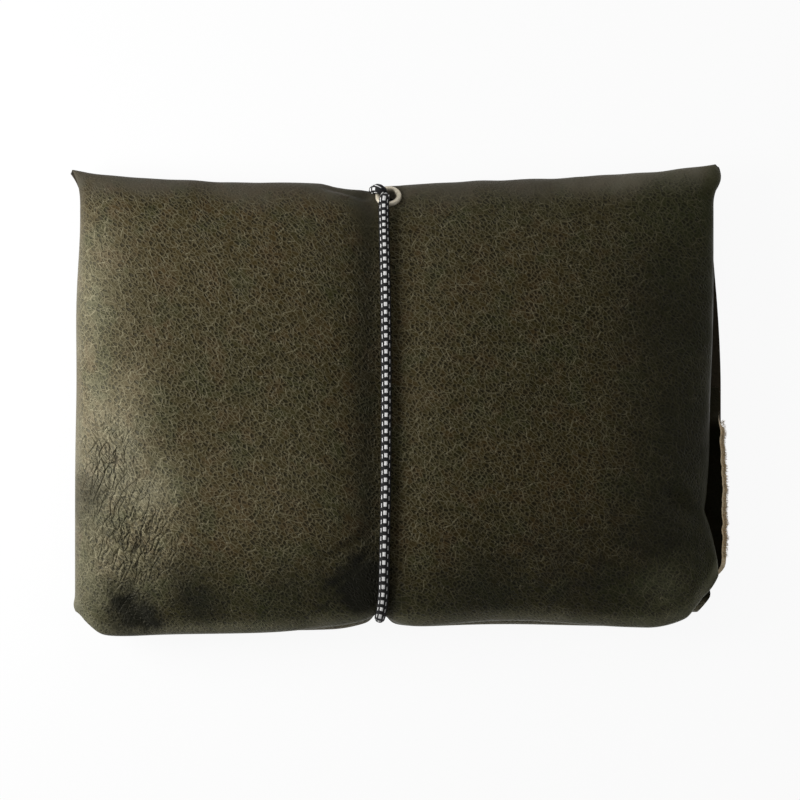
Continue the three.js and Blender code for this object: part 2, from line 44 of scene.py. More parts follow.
# Main sizes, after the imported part. The elastic is thinner here, because it is stretched
CASE_TOP = 83.0
CASE_RIGHT = 115.0
CORD_X = -5.0
CORD_RADIUS = 1.8
CROWN_HEIGHT = 30.0
LEATHER = 1.8
EDGE_Z = 13.7
FLAP_LEFT = -113.4
FLAP_RIGHT = 109.5
FLAP_MIDDLE = (FLAP_LEFT + FLAP_RIGHT) / 2
FLAP_HALF = (FLAP_RIGHT - FLAP_LEFT) / 2
CORD_FRACTION = (CORD_X - FLAP_MIDDLE) / FLAP_HALF
FOLD_LINE = 66.0
FOLD_BACKSET = 18.0
FOLD_CENTRE_Y = FOLD_LINE - FOLD_BACKSET
LINING_TOP = 60.0
BACK_RISE = 5.0
RISE_START = 40.0
GROOVE_DEPTH = 4.6
GROOVE_HALF_WIDTH = 9.0
POCKET_HEIGHT = 9.6
POCKET_FLOOR = 2.1
POCKET_CREST = 7.8
POCKET_MOUTH = 5.0
POCKET_LENGTH = 82.0
BACK_LEFT = -112.2
CORNER_DEPTH = 8.0
CORNER_LENGTH = 18.0
CORNER_TOP = -CASE_TOP + POCKET_HEIGHT / 2 + CORNER_LENGTH
BOTTOM_FOLD_LEFT = BACK_LEFT + CORNER_DEPTH
BOTTOM_FOLD_RIGHT = 104.0
SEAM_END = 103.0
SEAMS_LEFT = np.linspace(-SEAM_END, -14.0, 5)
SEAMS_RIGHT = np.linspace(4.0, SEAM_END, 5)
DIVIDER_HALF_WIDTH = 1.5
CHANNEL_START = 14.0
EYELET_X = -4.0
EYELET_FROM_FOLD = 5.0
SEAT_SINK = 0.8
SEAT_REACH = 7.0
SEAT_DEPTH = 8.0
EYELET_HOLE = 3.5
FLANGE_RADIUS = 4.6
BORE_RADIUS = 2.6
FLANGE_TOP = 1.3
BARREL_END = -3.4
WASHER_TOP = -2.1
WASHER_LOW = -2.6

# The flap's edge, rolled under: its bend, what lies flat past it, where it starts and how it fades in
HEM_RADIUS = 2.35
HEM_ANGLES = np.radians([18, 36, 54, 72, 90])
HEM_FLATS = (1.3, 2.6, 3.9)
HEM_TOP_SHARE = 0.955
HEM_FADE = 0.05
HEM_LEAST = 0.03

# The pocket's raw right edge, curled up and fibrous, and its lifted left edge
CURL_ANGLE = math.radians(78)
CURL_LIFT = 6.2
CURL_DRAW_IN = 1.7
LEFT_EDGE_LIFT = 1.6
FIBRE_RADIUS = 0.09
FIBRE_ROWS = slice(32, 78)

# The flap's lining
LINING_INSET = 2.6
LINING_PAST_TOP = 2.5
LINING_TURN = 13.0
LINING_Z = 10.9
LINING_THICKNESS = 0.7

# Fineness of the meshes, in counts
HALF_COLUMNS = 110
FRONT_ROWS = 130
FOLD_ROWS = 44
BACK_ROWS = 60
HEM_TANGENT_REACH = 13
POCKET_COLUMNS = 300
POCKET_TURN_ROWS = 19
POCKET_ROWS = 70
LINING_COLUMNS = 121
LINING_ROWS = 90
FIBRE_COUNT = 1500
CURVE_STEPS = 24

# Camera over the front: lens and sensor in millimetres, height in metres
CAMERA_LENS = 90
CAMERA_SENSOR = 36
CAMERA_HEIGHT = 0.713

# Soft forms: ears and sag of the top edge, tilts, corner, the flap's shortfall, pinch, valley and bows
TOP_DROP = 2.6
TOP_SAG = 4.6
TOP_TILT = 1.2
TOP_EARS = 1.4
EAR_POWER = 12
LEFT_EAR = -3.5
RIGHT_EAR = 2.9
BOTTOM_TILT = 3.4
BOTTOM_CORNER = 6.0
BOTTOM_CORNER_X = (86, 105)
FLAP_SHORTFALL = 0.2
PINCH_DEPTH = 3.0
PINCH_LENGTH = 8.0
VALLEY_DEPTH = 3.6
VALLEY_WIDTH = 14.0
RAW_BOW = 1.7
BACK_BOW = 4.5

# Bumps of the case's edges as middle, height and width
TOP_BUMPS = [(-12, -2.2, 9), (2, -0.6, 12), (-9, -0.8, 3.2), (-116, 1.1, 8)]
BOTTOM_BUMPS = [(34, 1.4, 34), (-8, 2.4, 9)]
FLAP_BUMPS = [(-20, 1.8, 17), (40, 2.0, 32), (-7, 2.4, 3.4), (-98, -0.5, 12)]
TURN_UP_BUMPS = [(-7, 4.1, 2.9)]
LEFT_BUMPS = [(64, 1.8, 24), (8, 0.5, 22), (-75, 0.5, 1.6), (-71.5, -0.5, 2.0)]
RIGHT_BUMPS = [(-8, -1.3, 26), (-29, -0.6, 10), (-60, 1.9, 12)]
RAW_BUMPS = [(-69.3, 0.5, 1.7), (-65.4, -0.9, 1.8)]

# Where the flap's corners are cut, where its right edge is pinched, and the raw edge's widest place
CORNER_CUT_LEFT = -104.8
CORNER_CUT_RIGHT = 100.4
PINCH_Y = -38.5
RAW_MIDDLE = -40.0

# Swells of the padding as height, size and seed
LUMPS = [(0.75, 34, 1), (0.3, 13, 2), (0.1, 5, 3)]

# Creases as start, end, depth and width
CREASES = [
    (-7.9, -42.5, -28.2, -57.6, 0.55, 2.6), (-9.6, -51, -24.3, -66, 0.5, 2.4),
    (-1.2, -52, 12.5, -69, 0.4, 2.4), (-27, 74.5, -9, 70.5, 1.9, 2),
    (-20, 70, -8.5, 67, 0.5, 1.6), (-1, 66, 9, 70, 0.35, 1.8),
    (108, -40.5, 90, -33, 1.9, 4.6), (104, -47, 92, -52, 0.7, 3),
    (86, -69, 106, -70.5, 0.8, 2.6), (-97, -68, -86, -80, 0.8, 2.4),
    (-112, -70, -102, -73, 0.5, 2), (-104.8, -12, -99, -34, 0.4, 1.7),
    (-98, -9, -93.5, -27, 0.35, 1.6), (-92, -18, -88, -32, 0.3, 1.6),
    (-90, -36, -97, -52, 0.3, 1.6), (-84, -36, -90, -52, 0.3, 1.6),
    (104, 60, 92, 40, 0.5, 4),
]

# Hollows, then real stains mixed with painted shade, then spots of painted light, as place, depth and
# reach
HOLLOWS = [
    (-94.5, -70.5, 1.5, 8), (-67, -73.5, 0.9, 8.5),
    (-16.5, -66, 1.2, 9), (30, -66, 0.7, 17),
    (84, -62, 0.9, 12), (-104, -30, 0.7, 9),
    (97, 26, 0.9, 16), (-60, 66, 0.6, 12),
]
# Real stains: the first five, at the lower left. Painted shade: the hollow at the elastic's foot, the
# lower edge on both sides of it, the right side and the fold left of the eyelet. The two at the left edge
# only darken it there
STAINS_AND_SHADE = [
    (-93.5, -75, 1.15, 8), (-98.5, -69.5, 0.5, 4.5),
    (-86, -78, 0.45, 5), (-67, -71.5, 0.6, 8.5),
    (-74, -63, 0.45, 9), (-12.5, -67.5, 1.25, 9.5),
    (-20, -60, 0.4, 8), (-109, -31, 0.5, 7.5),
    (-108, -40, 0.25, 8.5), (30, -68, 0.55, 20),
    (66, -66, 0.45, 14), (56, -51, 0.3, 14),
    (-38, -66, 0.4, 9), (92, -48, 0.35, 16),
    (100, 25, 0.25, 20), (103, -14, 0.35, 18),
    (-12.5, 72.5, 0.6, 5),
]
# Painted light: the sheen highlights and lighter places on the left side, a lighter lower left and the lit
# bulge at the lower right
PAINTED_LIGHT_SPOTS = [
    (-100, -18, 1.2, 12), (-97, 0, 0.4, 13),
    (-85, -31, 0.8, 10), (-45, -38, 0.13, 30),
    (91, -65, 0.4, 9),
]

# Cracked patches as place, width and height
CRACKED_PATCHES = [(-101, -20, 9, 13), (-92, -49, 14, 17)]

# Colours of the hide, in linear light
OLIVE = (0.0252, 0.0203, 0.0042)
BROWN = (0.0350, 0.0236, 0.0055)
REDDISH = (0.044, 0.0245, 0.0075)
GREENISH = (0.0195, 0.0230, 0.0055)
COOL_OLIVE = (0.0180, 0.0220, 0.0066)
PIT_BROWN = (0.0036, 0.0029, 0.0006)
LINE_TAN = (0.139, 0.124, 0.074)
# Painted sheen along the top fold and the left rim
PAINTED_SHEEN_GREY = (0.074, 0.066, 0.052)
# Near black shared by the real stains and the painted shade
STAIN_AND_SHADE_BLACK = (0.0046, 0.0052, 0.0036)
# Greyish painted light and painted highlights
PAINTED_LIGHT_GREY = (0.187, 0.180, 0.138)
# Painted shade in the wrinkle creases
CREASE_SHADE_BROWN = (0.010, 0.009, 0.005)

# Main direction of the grain in radians, and its pebbles to a millimetre
GRAIN_TURN = 0.68
PEBBLE_SCALE = 0.85

# Stage's profile as radius and height, in metres
STAGE_PROFILE = [(4.0, 0.0), (5.0, 0.08), (5.6, 0.4), (5.9, 0.9), (6.0, 1.5)]

# Lamps as name, place, target, size and power, in metres and watts
LAMPS = [
    ("key", (-0.33, 0.04, 0.20), (0, 0, 0.02), 0.22, 1.5),
    ("right_fill", (0.42, -0.06, 0.30), (0.1, 0, 0.01), 0.3, 0.14),
    ("top_fill", (0.02, 0.46, 0.34), (0, 0, 0.02), 0.35, 0.62),
]
WORLD_STRENGTH = 0.14

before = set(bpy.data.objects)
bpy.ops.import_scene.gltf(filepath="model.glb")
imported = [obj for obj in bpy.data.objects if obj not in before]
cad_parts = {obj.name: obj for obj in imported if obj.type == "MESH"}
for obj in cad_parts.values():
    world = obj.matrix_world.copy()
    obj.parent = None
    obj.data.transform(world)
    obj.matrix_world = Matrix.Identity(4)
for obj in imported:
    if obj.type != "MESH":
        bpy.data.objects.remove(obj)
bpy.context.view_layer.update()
scene = bpy.context.scene


# Camera: square on from above the front, 280 mm across the picture at the height of the edges
def make_camera():
    data = bpy.data.cameras.new("camera")
    data.lens = CAMERA_LENS
    data.sensor_width = CAMERA_SENSOR
    camera = bpy.data.objects.new("camera", data)
    camera.location = (0, 0, CAMERA_HEIGHT)
    scene.collection.objects.link(camera)
    scene.camera = camera


make_camera()


# Small tools
def lerp(a, b, t):
    return a + (b - a) * t


# Smooth step from 0 where a value is at its start to 1 where it is at its end
def ramp(value, start, end):
    t = np.clip((value - start) / (end - start), 0, 1)
    return t * t * (3 - 2 * t)


# Like a ramp, but as a power that is steepest at its end
def upturn(value, start, end, power=2.0):
    return np.clip((value - start) / (end - start), 0, 1) ** power


def bell(distance, width):
    return np.exp(-((distance / width) ** 2))


def dome(t):
    return np.sqrt(np.clip(1 - np.abs(t) ** 2.5, 0, None))


def bumps(place, rows):
    return sum(height * bell(place - middle, width) for middle, height, width in rows)


def spots(x, y, rows, ragged=1.0):
    total = np.zeros(np.shape(x))
    for x0, y0, depth, reach in rows:
        total += depth * np.exp(-((x - x0) ** 2 + (y - y0) ** 2) / (reach * ragged) ** 2)
    return total


def noise_at(x, y, scale, seed):
    flat = zip(np.ravel(x) / scale, np.ravel(y) / scale)
    values = [noise.noise(Vector((a, b, 7.3 * seed))) for a, b in flat]
    return np.reshape(values, np.shape(x))


def point_grid(rows, columns, first=0):
    return np.arange(rows * columns).reshape(rows, columns) + first


# Faces between the rows of a grid of point numbers, whose columns may close into a ring
def quads(grid, ring=False):
    if ring:
        grid = np.concatenate([grid, grid[:, :1]], axis=1)
    return np.stack([grid[:-1, :-1], grid[:-1, 1:], grid[1:, 1:], grid[1:, :-1]], -1).reshape(-1, 4)


# Order of a face's corners that turns it over and keeps its first
TURNED_OVER = [0, 3, 2, 1]


def steps(count):
    return np.linspace(0, 1, count + 1)[1:]


def even_turn(count):
    return np.linspace(0, FULL_TURN, count, endpoint=False)


def set_uvs(mesh, uvs):
    layer = mesh.uv_layers.new(name="skin")
    layer.data.foreach_set("uv", np.array(uvs, np.float32).ravel())


def make_mesh(name, points, faces, materials, uvs=None):
    mesh = bpy.data.meshes.new(name)
    places = np.reshape(points, (-1, 3)) * MM
    mesh.from_pydata(places.tolist(), [], [list(map(int, f)) for f in faces])
    if uvs is not None:
        corner = np.zeros(len(mesh.loops), int)
        mesh.loops.foreach_get("vertex_index", corner)
        set_uvs(mesh, np.reshape(uvs, (-1, 2))[corner])
    mesh.polygons.foreach_set("use_smooth", [True] * len(mesh.polygons))
    mesh.update()
    for material in materials:
        mesh.materials.append(material)
    piece = bpy.data.objects.new(name, mesh)
    scene.collection.objects.link(piece)
    return piece


# Gives a surface its thickness on the inner side, with its own material there and on the cut edge.
# Shares, where given, are the part of the thickness at each point
def thicken(piece, thickness, shares=None):
    solid = piece.modifiers.new("thickness", "SOLIDIFY")
    solid.thickness = thickness * MM
    solid.offset = -1
    solid.use_rim = True
    solid.material_offset = 1
    solid.material_offset_rim = 2
    if shares is not None:
        group = piece.vertex_groups.new(name="share")
        for index, share in enumerate(shares):
            group.add([index], float(share), "REPLACE")
        solid.vertex_group = group.name
    bpy.context.view_layer.update()
    graph = bpy.context.evaluated_depsgraph_get()
    surface = piece.data
    piece.data = bpy.data.meshes.new_from_object(piece.evaluated_get(graph))
    piece.modifiers.clear()
    piece.vertex_groups.clear()
    bpy.data.meshes.remove(surface)
    piece.data.set_sharp_from_angle(angle=math.radians(55))


def add_attributes(piece, **attributes):
    for name, values in attributes.items():
        layer = piece.data.attributes.new(name, "FLOAT", "POINT")
        layer.data.foreach_set("value", np.ravel(values).astype(np.float32))


# Outline of the case: the top edge has an ear at each end, a sag between them and a tilt
def top_edge(x):
    across = (x - FLAP_MIDDLE) / FLAP_HALF
    ears = TOP_EARS * np.abs(across) ** EAR_POWER
    sag = TOP_DROP + TOP_SAG * (1 - across**2)
    return CASE_TOP - sag + TOP_TILT * across + ears + bumps(x, TOP_BUMPS)


def bottom_edge(x):
    tilt = BOTTOM_TILT * (x - BOTTOM_FOLD_LEFT) / (2 * CASE_RIGHT)
    lift = 0.45 * ramp(x, 80, -30) + bumps(x, BOTTOM_BUMPS)
    right_round = BOTTOM_CORNER * upturn(x, *BOTTOM_CORNER_X, 1.9)
    return -CASE_TOP + tilt + lift + right_round


# A straight cut that starts softly where the distance past it turns positive
def soft_cut(past, softness):
    return (past + np.hypot(past, softness)) / 2


# The flap's lower edge, cut off at its two corners
def flap_bottom(x):
    left_corner = soft_cut(CORNER_CUT_LEFT - x, 2.5)
    right_corner = 1.06 * soft_cut(x - CORNER_CUT_RIGHT, 1.0) + 2.4 * upturn(x, 106, FLAP_RIGHT)
    return bottom_edge(x) + FLAP_SHORTFALL + bumps(x, FLAP_BUMPS) + left_corner + right_corner


# The turned-up bottom edge, drawn in behind the flap at its left end
def turn_up_edge(x):
    tucked = 1.5 * ramp(x, -40, -65) + 3.5 * upturn(x, -82, -104)
    return bottom_edge(x) + tucked + bumps(x, TURN_UP_BUMPS)


def flap_left_at(y):
    return FLAP_LEFT - 0.2 + bumps(y, LEFT_BUMPS)


def flap_right_at(y):
    pinch = PINCH_DEPTH * np.exp(-np.hypot(y - PINCH_Y, 0.8) / PINCH_LENGTH)
    return FLAP_RIGHT + 0.1 - pinch + bumps(y, RIGHT_BUMPS)


def crease_depth(x, y):
    total = spots(x, y, HOLLOWS)
    for x0, y0, x1, y1, depth, width in CREASES:
        along_x, along_y = x1 - x0, y1 - y0
        length = math.hypot(along_x, along_y)
        part = ((x - x0) * along_x + (y - y0) * along_y) / length**2
        wander = 0.03 * length * np.sin(5 * part)
        aside = ((x - x0) * along_y - (y - y0) * along_x) / length + wander
        taper = ramp(part, -0.1, 0.25) * ramp(part, 1.1, 0.75)
        spread = (aside / width) ** 2
        total += depth * taper * (1 - 0.8 * spread) * np.exp(-spread)
    return total


def lumps(x, y):
    return sum(height * noise_at(x, y, size, seed) for height, size, seed in LUMPS)


# Front of the flap: f from -1 at the left edge over 0 at the elastic to 1 at the right edge
def column_x(f, left, right, middle=CORD_X):
    return np.where(f < 0, lerp(middle, left, -f), lerp(middle, right, f))


def front_height(f, w, x, y):
    plump = dome(column_x(f, -1, 1, CORD_FRACTION)) * dome(w)
    valley = VALLEY_DEPTH * bell(x - CORD_X, VALLEY_WIDTH) * dome(w) ** 2
    soft = np.clip(plump * 2.2, 0, 1) * (lumps(x, y) - crease_depth(x, y))
    return EDGE_Z + 0.3 + (CROWN_HEIGHT - EDGE_Z) * plump - valley + soft


def place_w(x, y):
    low, high = flap_bottom(x), top_edge(x)
    return (2 * y - high - low) / (high - low)


def front_z(x, y):
    x, y = np.asarray(x, float), np.asarray(y, float)
    edge = np.where(x < CORD_X, CORD_X - flap_left_at(y), flap_right_at(y) - CORD_X)
    f = (x - CORD_X) / edge
    return front_height(f, place_w(x, y), x, y)


def front_points(f, t):
    plain = column_x(f, FLAP_LEFT, FLAP_RIGHT)
    low = flap_bottom(plain)
    y = lerp(low, FOLD_LINE, t)
    x = column_x(f, flap_left_at(y), flap_right_at(y))
    z = front_height(f, place_w(plain, y), x, y)
    return np.stack([x, y, z], -1)


# Underside of the back
def groove(x):
    across = np.clip((x - CORD_X) / GROOVE_HALF_WIDTH, -1, 1)
    return GROOVE_DEPTH * (1 - across**2) ** 2


def back_height(x, y):
    rise = upturn(y, RISE_START, FOLD_LINE)
    return BACK_RISE * rise + groove(x) * (1 - rise)


# Top fold as an oval from the front over the top to the back
def fold_section(f):
    x = column_x(f, flap_left_at(FOLD_LINE), flap_right_at(FOLD_LINE))
    front = front_points(f, np.ones(np.shape(f)))[..., 2]
    back = back_height(x, FOLD_LINE)
    reach = top_edge(x) - FOLD_CENTRE_Y
    start = np.arcsin(FOLD_BACKSET / reach)
    half = (front - back) / 2 / np.cos(start)
    return x, reach, start, half, (front + back) / 2


def fold_points(f, part):
    x, reach, start, half, middle = fold_section(f)
    angle = lerp(start, math.pi - start, part)
    y = FOLD_CENTRE_Y + reach * np.sin(angle)
    rise = np.clip((y - FOLD_LINE) / (reach - FOLD_BACKSET), 0, 1)
    left_ear = LEFT_EAR * rise**2.6
    right_ear = RIGHT_EAR * bell(rise - 0.74, 0.3) * ramp(rise, 0, 0.3)
    flare = np.where(f < 0, left_ear, right_ear) * np.abs(f) ** EAR_POWER
    z = middle + half * np.cos(angle)
    ripple = crease_depth(x, y) * ramp(z, 9, 15) * ramp(part, 0, 0.05)
    gather = 0.35 * noise_at(x, 0.4 * y, 9, 5) * ramp(part, 0, 0.2) * ramp(part, 1, 0.8)
    outward_y, outward_z = half * np.sin(angle), reach * np.cos(angle)
    length = np.hypot(outward_y, outward_z)
    lift = gather - 0.8 * ripple
    return np.stack([x + flare, y + lift * outward_y / length, z + lift * outward_z / length], -1)


def fold_join(x):
    return turn_up_edge(x) + fold_radius(x)


def fold_radius(x):
    return (POCKET_HEIGHT - groove(x)) / 2


def corner_cut(y):
    return CORNER_DEPTH * upturn(y, CORNER_TOP, CORNER_TOP - CORNER_LENGTH)


def raw_edge_at(y):
    slope = 0.47 * np.clip(-57.5 - y, 0, None) * ramp(y, -55, -61)
    lobes = bumps(y, RAW_BUMPS) - 0.5 * ramp(y, -71, -75)
    return CASE_RIGHT - RAW_BOW * ((y - RAW_MIDDLE) / RAW_MIDDLE) ** 2 - slope + lobes


def back_right_at(y):
    above = CASE_RIGHT - 0.9 - BACK_BOW * upturn(y, POCKET_MOUTH, FOLD_LINE, 1.7)
    return np.where(y < RAW_MIDDLE, raw_edge_at(y) - 1.2, above)


def back_left_at(y):
    return lerp(BACK_LEFT, flap_left_at(FOLD_LINE), ramp(y, RISE_START, FOLD_LINE)) + corner_cut(y)


def back_points(f, part):
    guess = column_x(f, BOTTOM_FOLD_LEFT, BOTTOM_FOLD_RIGHT)
    y = lerp(FOLD_LINE, fold_join(guess), part)
    x = column_x(f, back_left_at(y), back_right_at(y))
    return np.stack([x, y, back_height(x, y)], -1)


# The eyelet's seat in the top fold
def make_seat():
    _, reach, _, half, middle = fold_section((EYELET_X - CORD_X) / (FLAP_RIGHT - CORD_X))
    angle = math.asin((FOLD_BACKSET + EYELET_FROM_FOLD) / reach)
    outward = np.array([0, half * math.sin(angle), reach * math.cos(angle)])
    outward /= np.linalg.norm(outward)
    centre = np.array([EYELET_X, FOLD_LINE + EYELET_FROM_FOLD, middle + half * math.cos(angle)])
    return centre - SEAT_SINK * outward, outward, np.array([0, outward[2], -outward[1]])


SEAT, OUTWARD, OVER_TOP = make_seat()


def seat_point(right, over, out):
    return SEAT + np.array([right, 0, 0]) + over * OVER_TOP + out * OUTWARD


# Presses the leather flat around the eyelet, and measures how far each point is from its axis there
def press_seat(points):
    height = (points - SEAT) @ OUTWARD
    distance = np.linalg.norm(points - SEAT - height[..., None] * OUTWARD, axis=-1)
    share = ramp(distance, SEAT_REACH, FLANGE_RADIUS) * (height > -SEAT_DEPTH)
    return points - (share * height)[..., None] * OUTWARD, np.where(height < -SEAT_DEPTH, np.inf, distance)


def lengths_along(points, axis=0):
    parts = np.diff(points, axis=axis, prepend=np.take(points, [0], axis))
    return np.cumsum(np.linalg.norm(parts, axis=-1), axis=axis)


# Lengths along a grid's rows and columns, for texture places that don't stretch
def grid_uvs(points, zero_row, zero_column):
    u = lengths_along(points, 1)
    v = lengths_along(points)
    return np.stack([u - u[:, [zero_column]], v - v[[zero_row]]], -1)


# Materials, whose helpers find the tree of nodes from a socket in it
def new_material(name):
    material = bpy.data.materials.new(name)
    material.use_nodes = True
    return material, material.node_tree, material.node_tree.nodes["Principled BSDF"]


# Sets a node's inputs from sockets or from plain values
def fill_inputs(node, inputs):
    for key, value in dict(inputs).items():
        if isinstance(value, bpy.types.NodeSocket):
            node.id_data.links.new(value, node.inputs[key])
        else:
            node.inputs[key].default_value = value


def add_node(tree, kind, inputs=(), **settings):
    made = tree.nodes.new(kind)
    for key, value in settings.items():
        setattr(made, key, value)
    fill_inputs(made, inputs)
    return made


def calculate(operation, a, b=0.0):
    return add_node(a.id_data, "ShaderNodeMath", {0: a, 1: b}, operation=operation).outputs[0]


def times(a, b):
    return calculate("MULTIPLY", a, b)


def plus(a, b):
    return calculate("ADD", a, b)


def vector_math(operation, inputs):
    return add_node(inputs[0].id_data, "ShaderNodeVectorMath", inputs, operation=operation).outputs[0]


def between(value, low, high, to_low=0.0, to_high=1.0):
    inputs = {"Value": value, "From Min": low, "From Max": high, "To Min": to_low, "To Max": to_high}
    made = add_node(value.id_data, "ShaderNodeMapRange", inputs, interpolation_type="SMOOTHSTEP")
    return made.outputs["Result"]


# 1 where a value is zero, falling to 0 at a width
def fading(value, width):
    return between(value, 0.0, width, 1.0, 0.0)


def from_middle(value):
    return calculate("ABSOLUTE", calculate("SUBTRACT", value, 0.5))


def blend_colours(share, a, b):
    a = (*a, 1) if isinstance(a, tuple) else a
    b = (*b, 1) if isinstance(b, tuple) else b
    return add_node(share.id_data, "ShaderNodeMix", {0: share, 6: a, 7: b}, data_type="RGBA").outputs[2]


def skin_place(tree):
    return add_node(tree, "ShaderNodeUVMap", uv_map="skin").outputs["UV"]


def object_place(tree):
    return add_node(tree, "ShaderNodeTexCoord").outputs["Object"]


def attribute_value(tree, name):
    return add_node(tree, "ShaderNodeAttribute", attribute_name=name).outputs["Fac"]


def noise_value(place, scale, detail=2.0, rough=0.5):
    inputs = {"Vector": place, "Scale": scale, "Detail": detail, "Roughness": rough}
    return add_node(place.id_data, "ShaderNodeTexNoise", inputs).outputs["Fac"]


# Distance of a noise from its middle value, near zero along wandering lines
def noise_seams(place, scale):
    return from_middle(noise_value(place, scale, 1.0))


def patches(place, scale, low, high):
    return between(noise_value(place, scale, 3.0), low, high)


def warped_place(place, scale, amount):
    inputs = {"Vector": place, "Scale": scale, "Detail": 2.0}
    wander = add_node(place.id_data, "ShaderNodeTexNoise", inputs)
    centred = vector_math("SUBTRACT", {0: wander.outputs["Color"], 1: (0.5, 0.5, 0.5)})
    return vector_math("ADD", {0: place, 1: vector_math("SCALE", {0: centred, 3: amount})})


# Turns and stretches a texture's places, so that its pattern runs along one direction
def drawn_out(place, turn, stretch, kind="TEXTURE"):
    inputs = {"Vector": place, "Rotation": (0, 0, turn), "Scale": (*stretch, 1)}
    return add_node(place.id_data, "ShaderNodeMapping", inputs, vector_type=kind).outputs["Vector"]


def cells(place, scale, feature):
    inputs = {"Vector": place, "Scale": scale}
    settings = {"voronoi_dimensions": "2D", "feature": feature}
    return add_node(place.id_data, "ShaderNodeTexVoronoi", inputs, **settings)


def cell_edges(place, scale):
    return cells(place, scale, "DISTANCE_TO_EDGE").outputs["Distance"]


def bump_normal(height, distance, strength=1.0):
    inputs = {"Height": height, "Distance": distance, "Strength": strength}
    return add_node(height.id_data, "ShaderNodeBump", inputs).outputs["Normal"]


# Pebbled hide: pale broken creases and dark pits over olive brown, with the marks that a mesh carries:
# real stains, and painted sheen, painted light and painted shade
def make_leather(name):
    material, tree, shader = new_material(name)
    skin = skin_place(tree)
    calm, pale, cool, stain, cracks, worn = (
        attribute_value(tree, mark) for mark in ("calm", "pale", "cool", "stain", "cracks", "worn")
    )
    grain = between(calm, 0.0, 1.0, 1.0, 0.26)

    flow = drawn_out(warped_place(skin, 0.12, 1.2), GRAIN_TURN, (2.5, 0.9))
    strokes = fading(cell_edges(flow, 0.44), 0.075)
    strokes = times(strokes, patches(flow, 0.3, 0.33, 0.6))
    pebbled = drawn_out(warped_place(skin, 0.25, 0.9), GRAIN_TURN, (1.5, 0.9))
    edge = cell_edges(pebbled, PEBBLE_SCALE)
    mixed = cells(pebbled, PEBBLE_SCALE, "F1").outputs["Color"]
    chance = add_node(tree, "ShaderNodeSeparateColor", {"Color": mixed}).outputs["Red"]
    pits = times(between(edge, 0.03, 0.40), between(chance, 0.0, 0.8))
    pits = times(pits, grain)
    small = times(fading(edge, 0.16), patches(skin, 0.4, 0.24, 0.56))
    lines = calculate("MAXIMUM", times(strokes, 0.92), times(small, 0.55))
    lines = times(times(lines, grain), between(cool, 0.0, 1.0, 1.0, 0.55))

    colour = blend_colours(patches(skin, 0.021, 0.35, 0.65), OLIVE, BROWN)
    tints = (
        (patches(skin, 0.11, 0.48, 0.66), 0.6, REDDISH),
        (patches(skin, 0.085, 0.5, 0.66), 0.65, GREENISH),
        (cool, 0.82, COOL_OLIVE),
        (pits, 0.8, PIT_BROWN),
        (lines, 0.95, LINE_TAN),
        # painted sheen along the top fold and left rim
        (pale, 0.66, PAINTED_SHEEN_GREY),
        # real stains and painted shade
        (stain, 0.95, STAIN_AND_SHADE_BLACK),
    )
    for share, weight, tint in tints:
        colour = blend_colours(times(share, weight), colour, tint)

    steep = noise_seams(drawn_out(warped_place(skin, 0.09, 2.4), 1.92, (2.3, 0.9)), 0.27)
    across = noise_seams(drawn_out(warped_place(skin, 0.11, 2.0), 0.95, (2.3, 0.9)), 0.32)
    broad = times(fading(steep, 0.021), patches(skin, 0.12, 0.31, 0.48))
    narrow = times(fading(across, 0.021), patches(skin, 0.15, 0.37, 0.53))
    net = times(calculate("MAXIMUM", broad, times(narrow, 0.8)), cracks)
    swells = between(across, 0.0, 0.12, 0.3, 1.0)
    swells = calculate("MINIMUM", between(steep, 0.0, 0.12), swells)
    ridges = times(swells, cracks)
    # Painted light and painted highlights: the colour is raised and greyed where they are marked
    shine = plus(times(worn, 1.4), 1.0)
    # Painted highlight on the wrinkle ridges
    shine = plus(shine, times(ridges, 0.25))
    colour = vector_math("SCALE", {0: colour, 3: shine})
    colour = blend_colours(times(worn, 0.34), colour, PAINTED_LIGHT_GREY)
    # Painted shade along the wrinkle creases
    colour = blend_colours(times(net, 0.88), colour, CREASE_SHADE_BROWN)

    relief = times(noise_value(skin, 2.2), 0.2)
    for part, height in ((lines, 0.22), (pits, -0.6), (net, -1.0), (ridges, 2.0)):
        relief = plus(relief, times(part, height))
    looks = {
        "Base Color": colour,
        "Roughness": between(noise_value(skin, 0.12, 3.0), 0.3, 0.7, 0.5, 0.64),
        "Specular Tint": (1.0, 0.92, 0.7, 1.0),
        "Specular IOR Level": 0.2,
        "Normal": bump_normal(relief, 0.0004, 0.9),
    }
    fill_inputs(shader, looks)
    return material


# Flesh side and cut edge: short tan fibres
def make_suede(name, dark, light, scale, sheen=0.25):
    material, tree, shader = new_material(name)
    skin = skin_place(tree)
    nap = noise_value(skin, scale, 4.0, 0.65)
    clouds = noise_value(skin, 0.06, 3.0)
    strands = noise_value(drawn_out(skin, 0.4, (2.4, 0.35), "POINT"), scale, 3.0)
    share = times(between(nap, 0.3, 0.7), 0.6)
    share = plus(share, times(between(clouds, 0.3, 0.7), 0.4))
    colour = blend_colours(share, dark, light)
    # Dims the colour where a mesh marks it; the pocket's right raw edge stays at the cut edge's painted
    # brightness
    kept = between(attribute_value(tree, "aged"), 0.0, 1.0, 1.0, 0.3)
    height = plus(nap, times(strands, 0.7))
    looks = {
        "Base Color": vector_math("SCALE", {0: colour, 3: kept}),
        "Roughness": 0.95,
        "Specular IOR Level": 0.15,
        "Sheen Weight": sheen,
        "Sheen Roughness": 0.6,
        "Normal": bump_normal(height, 0.0002),
    }
    fill_inputs(shader, looks)
    return material


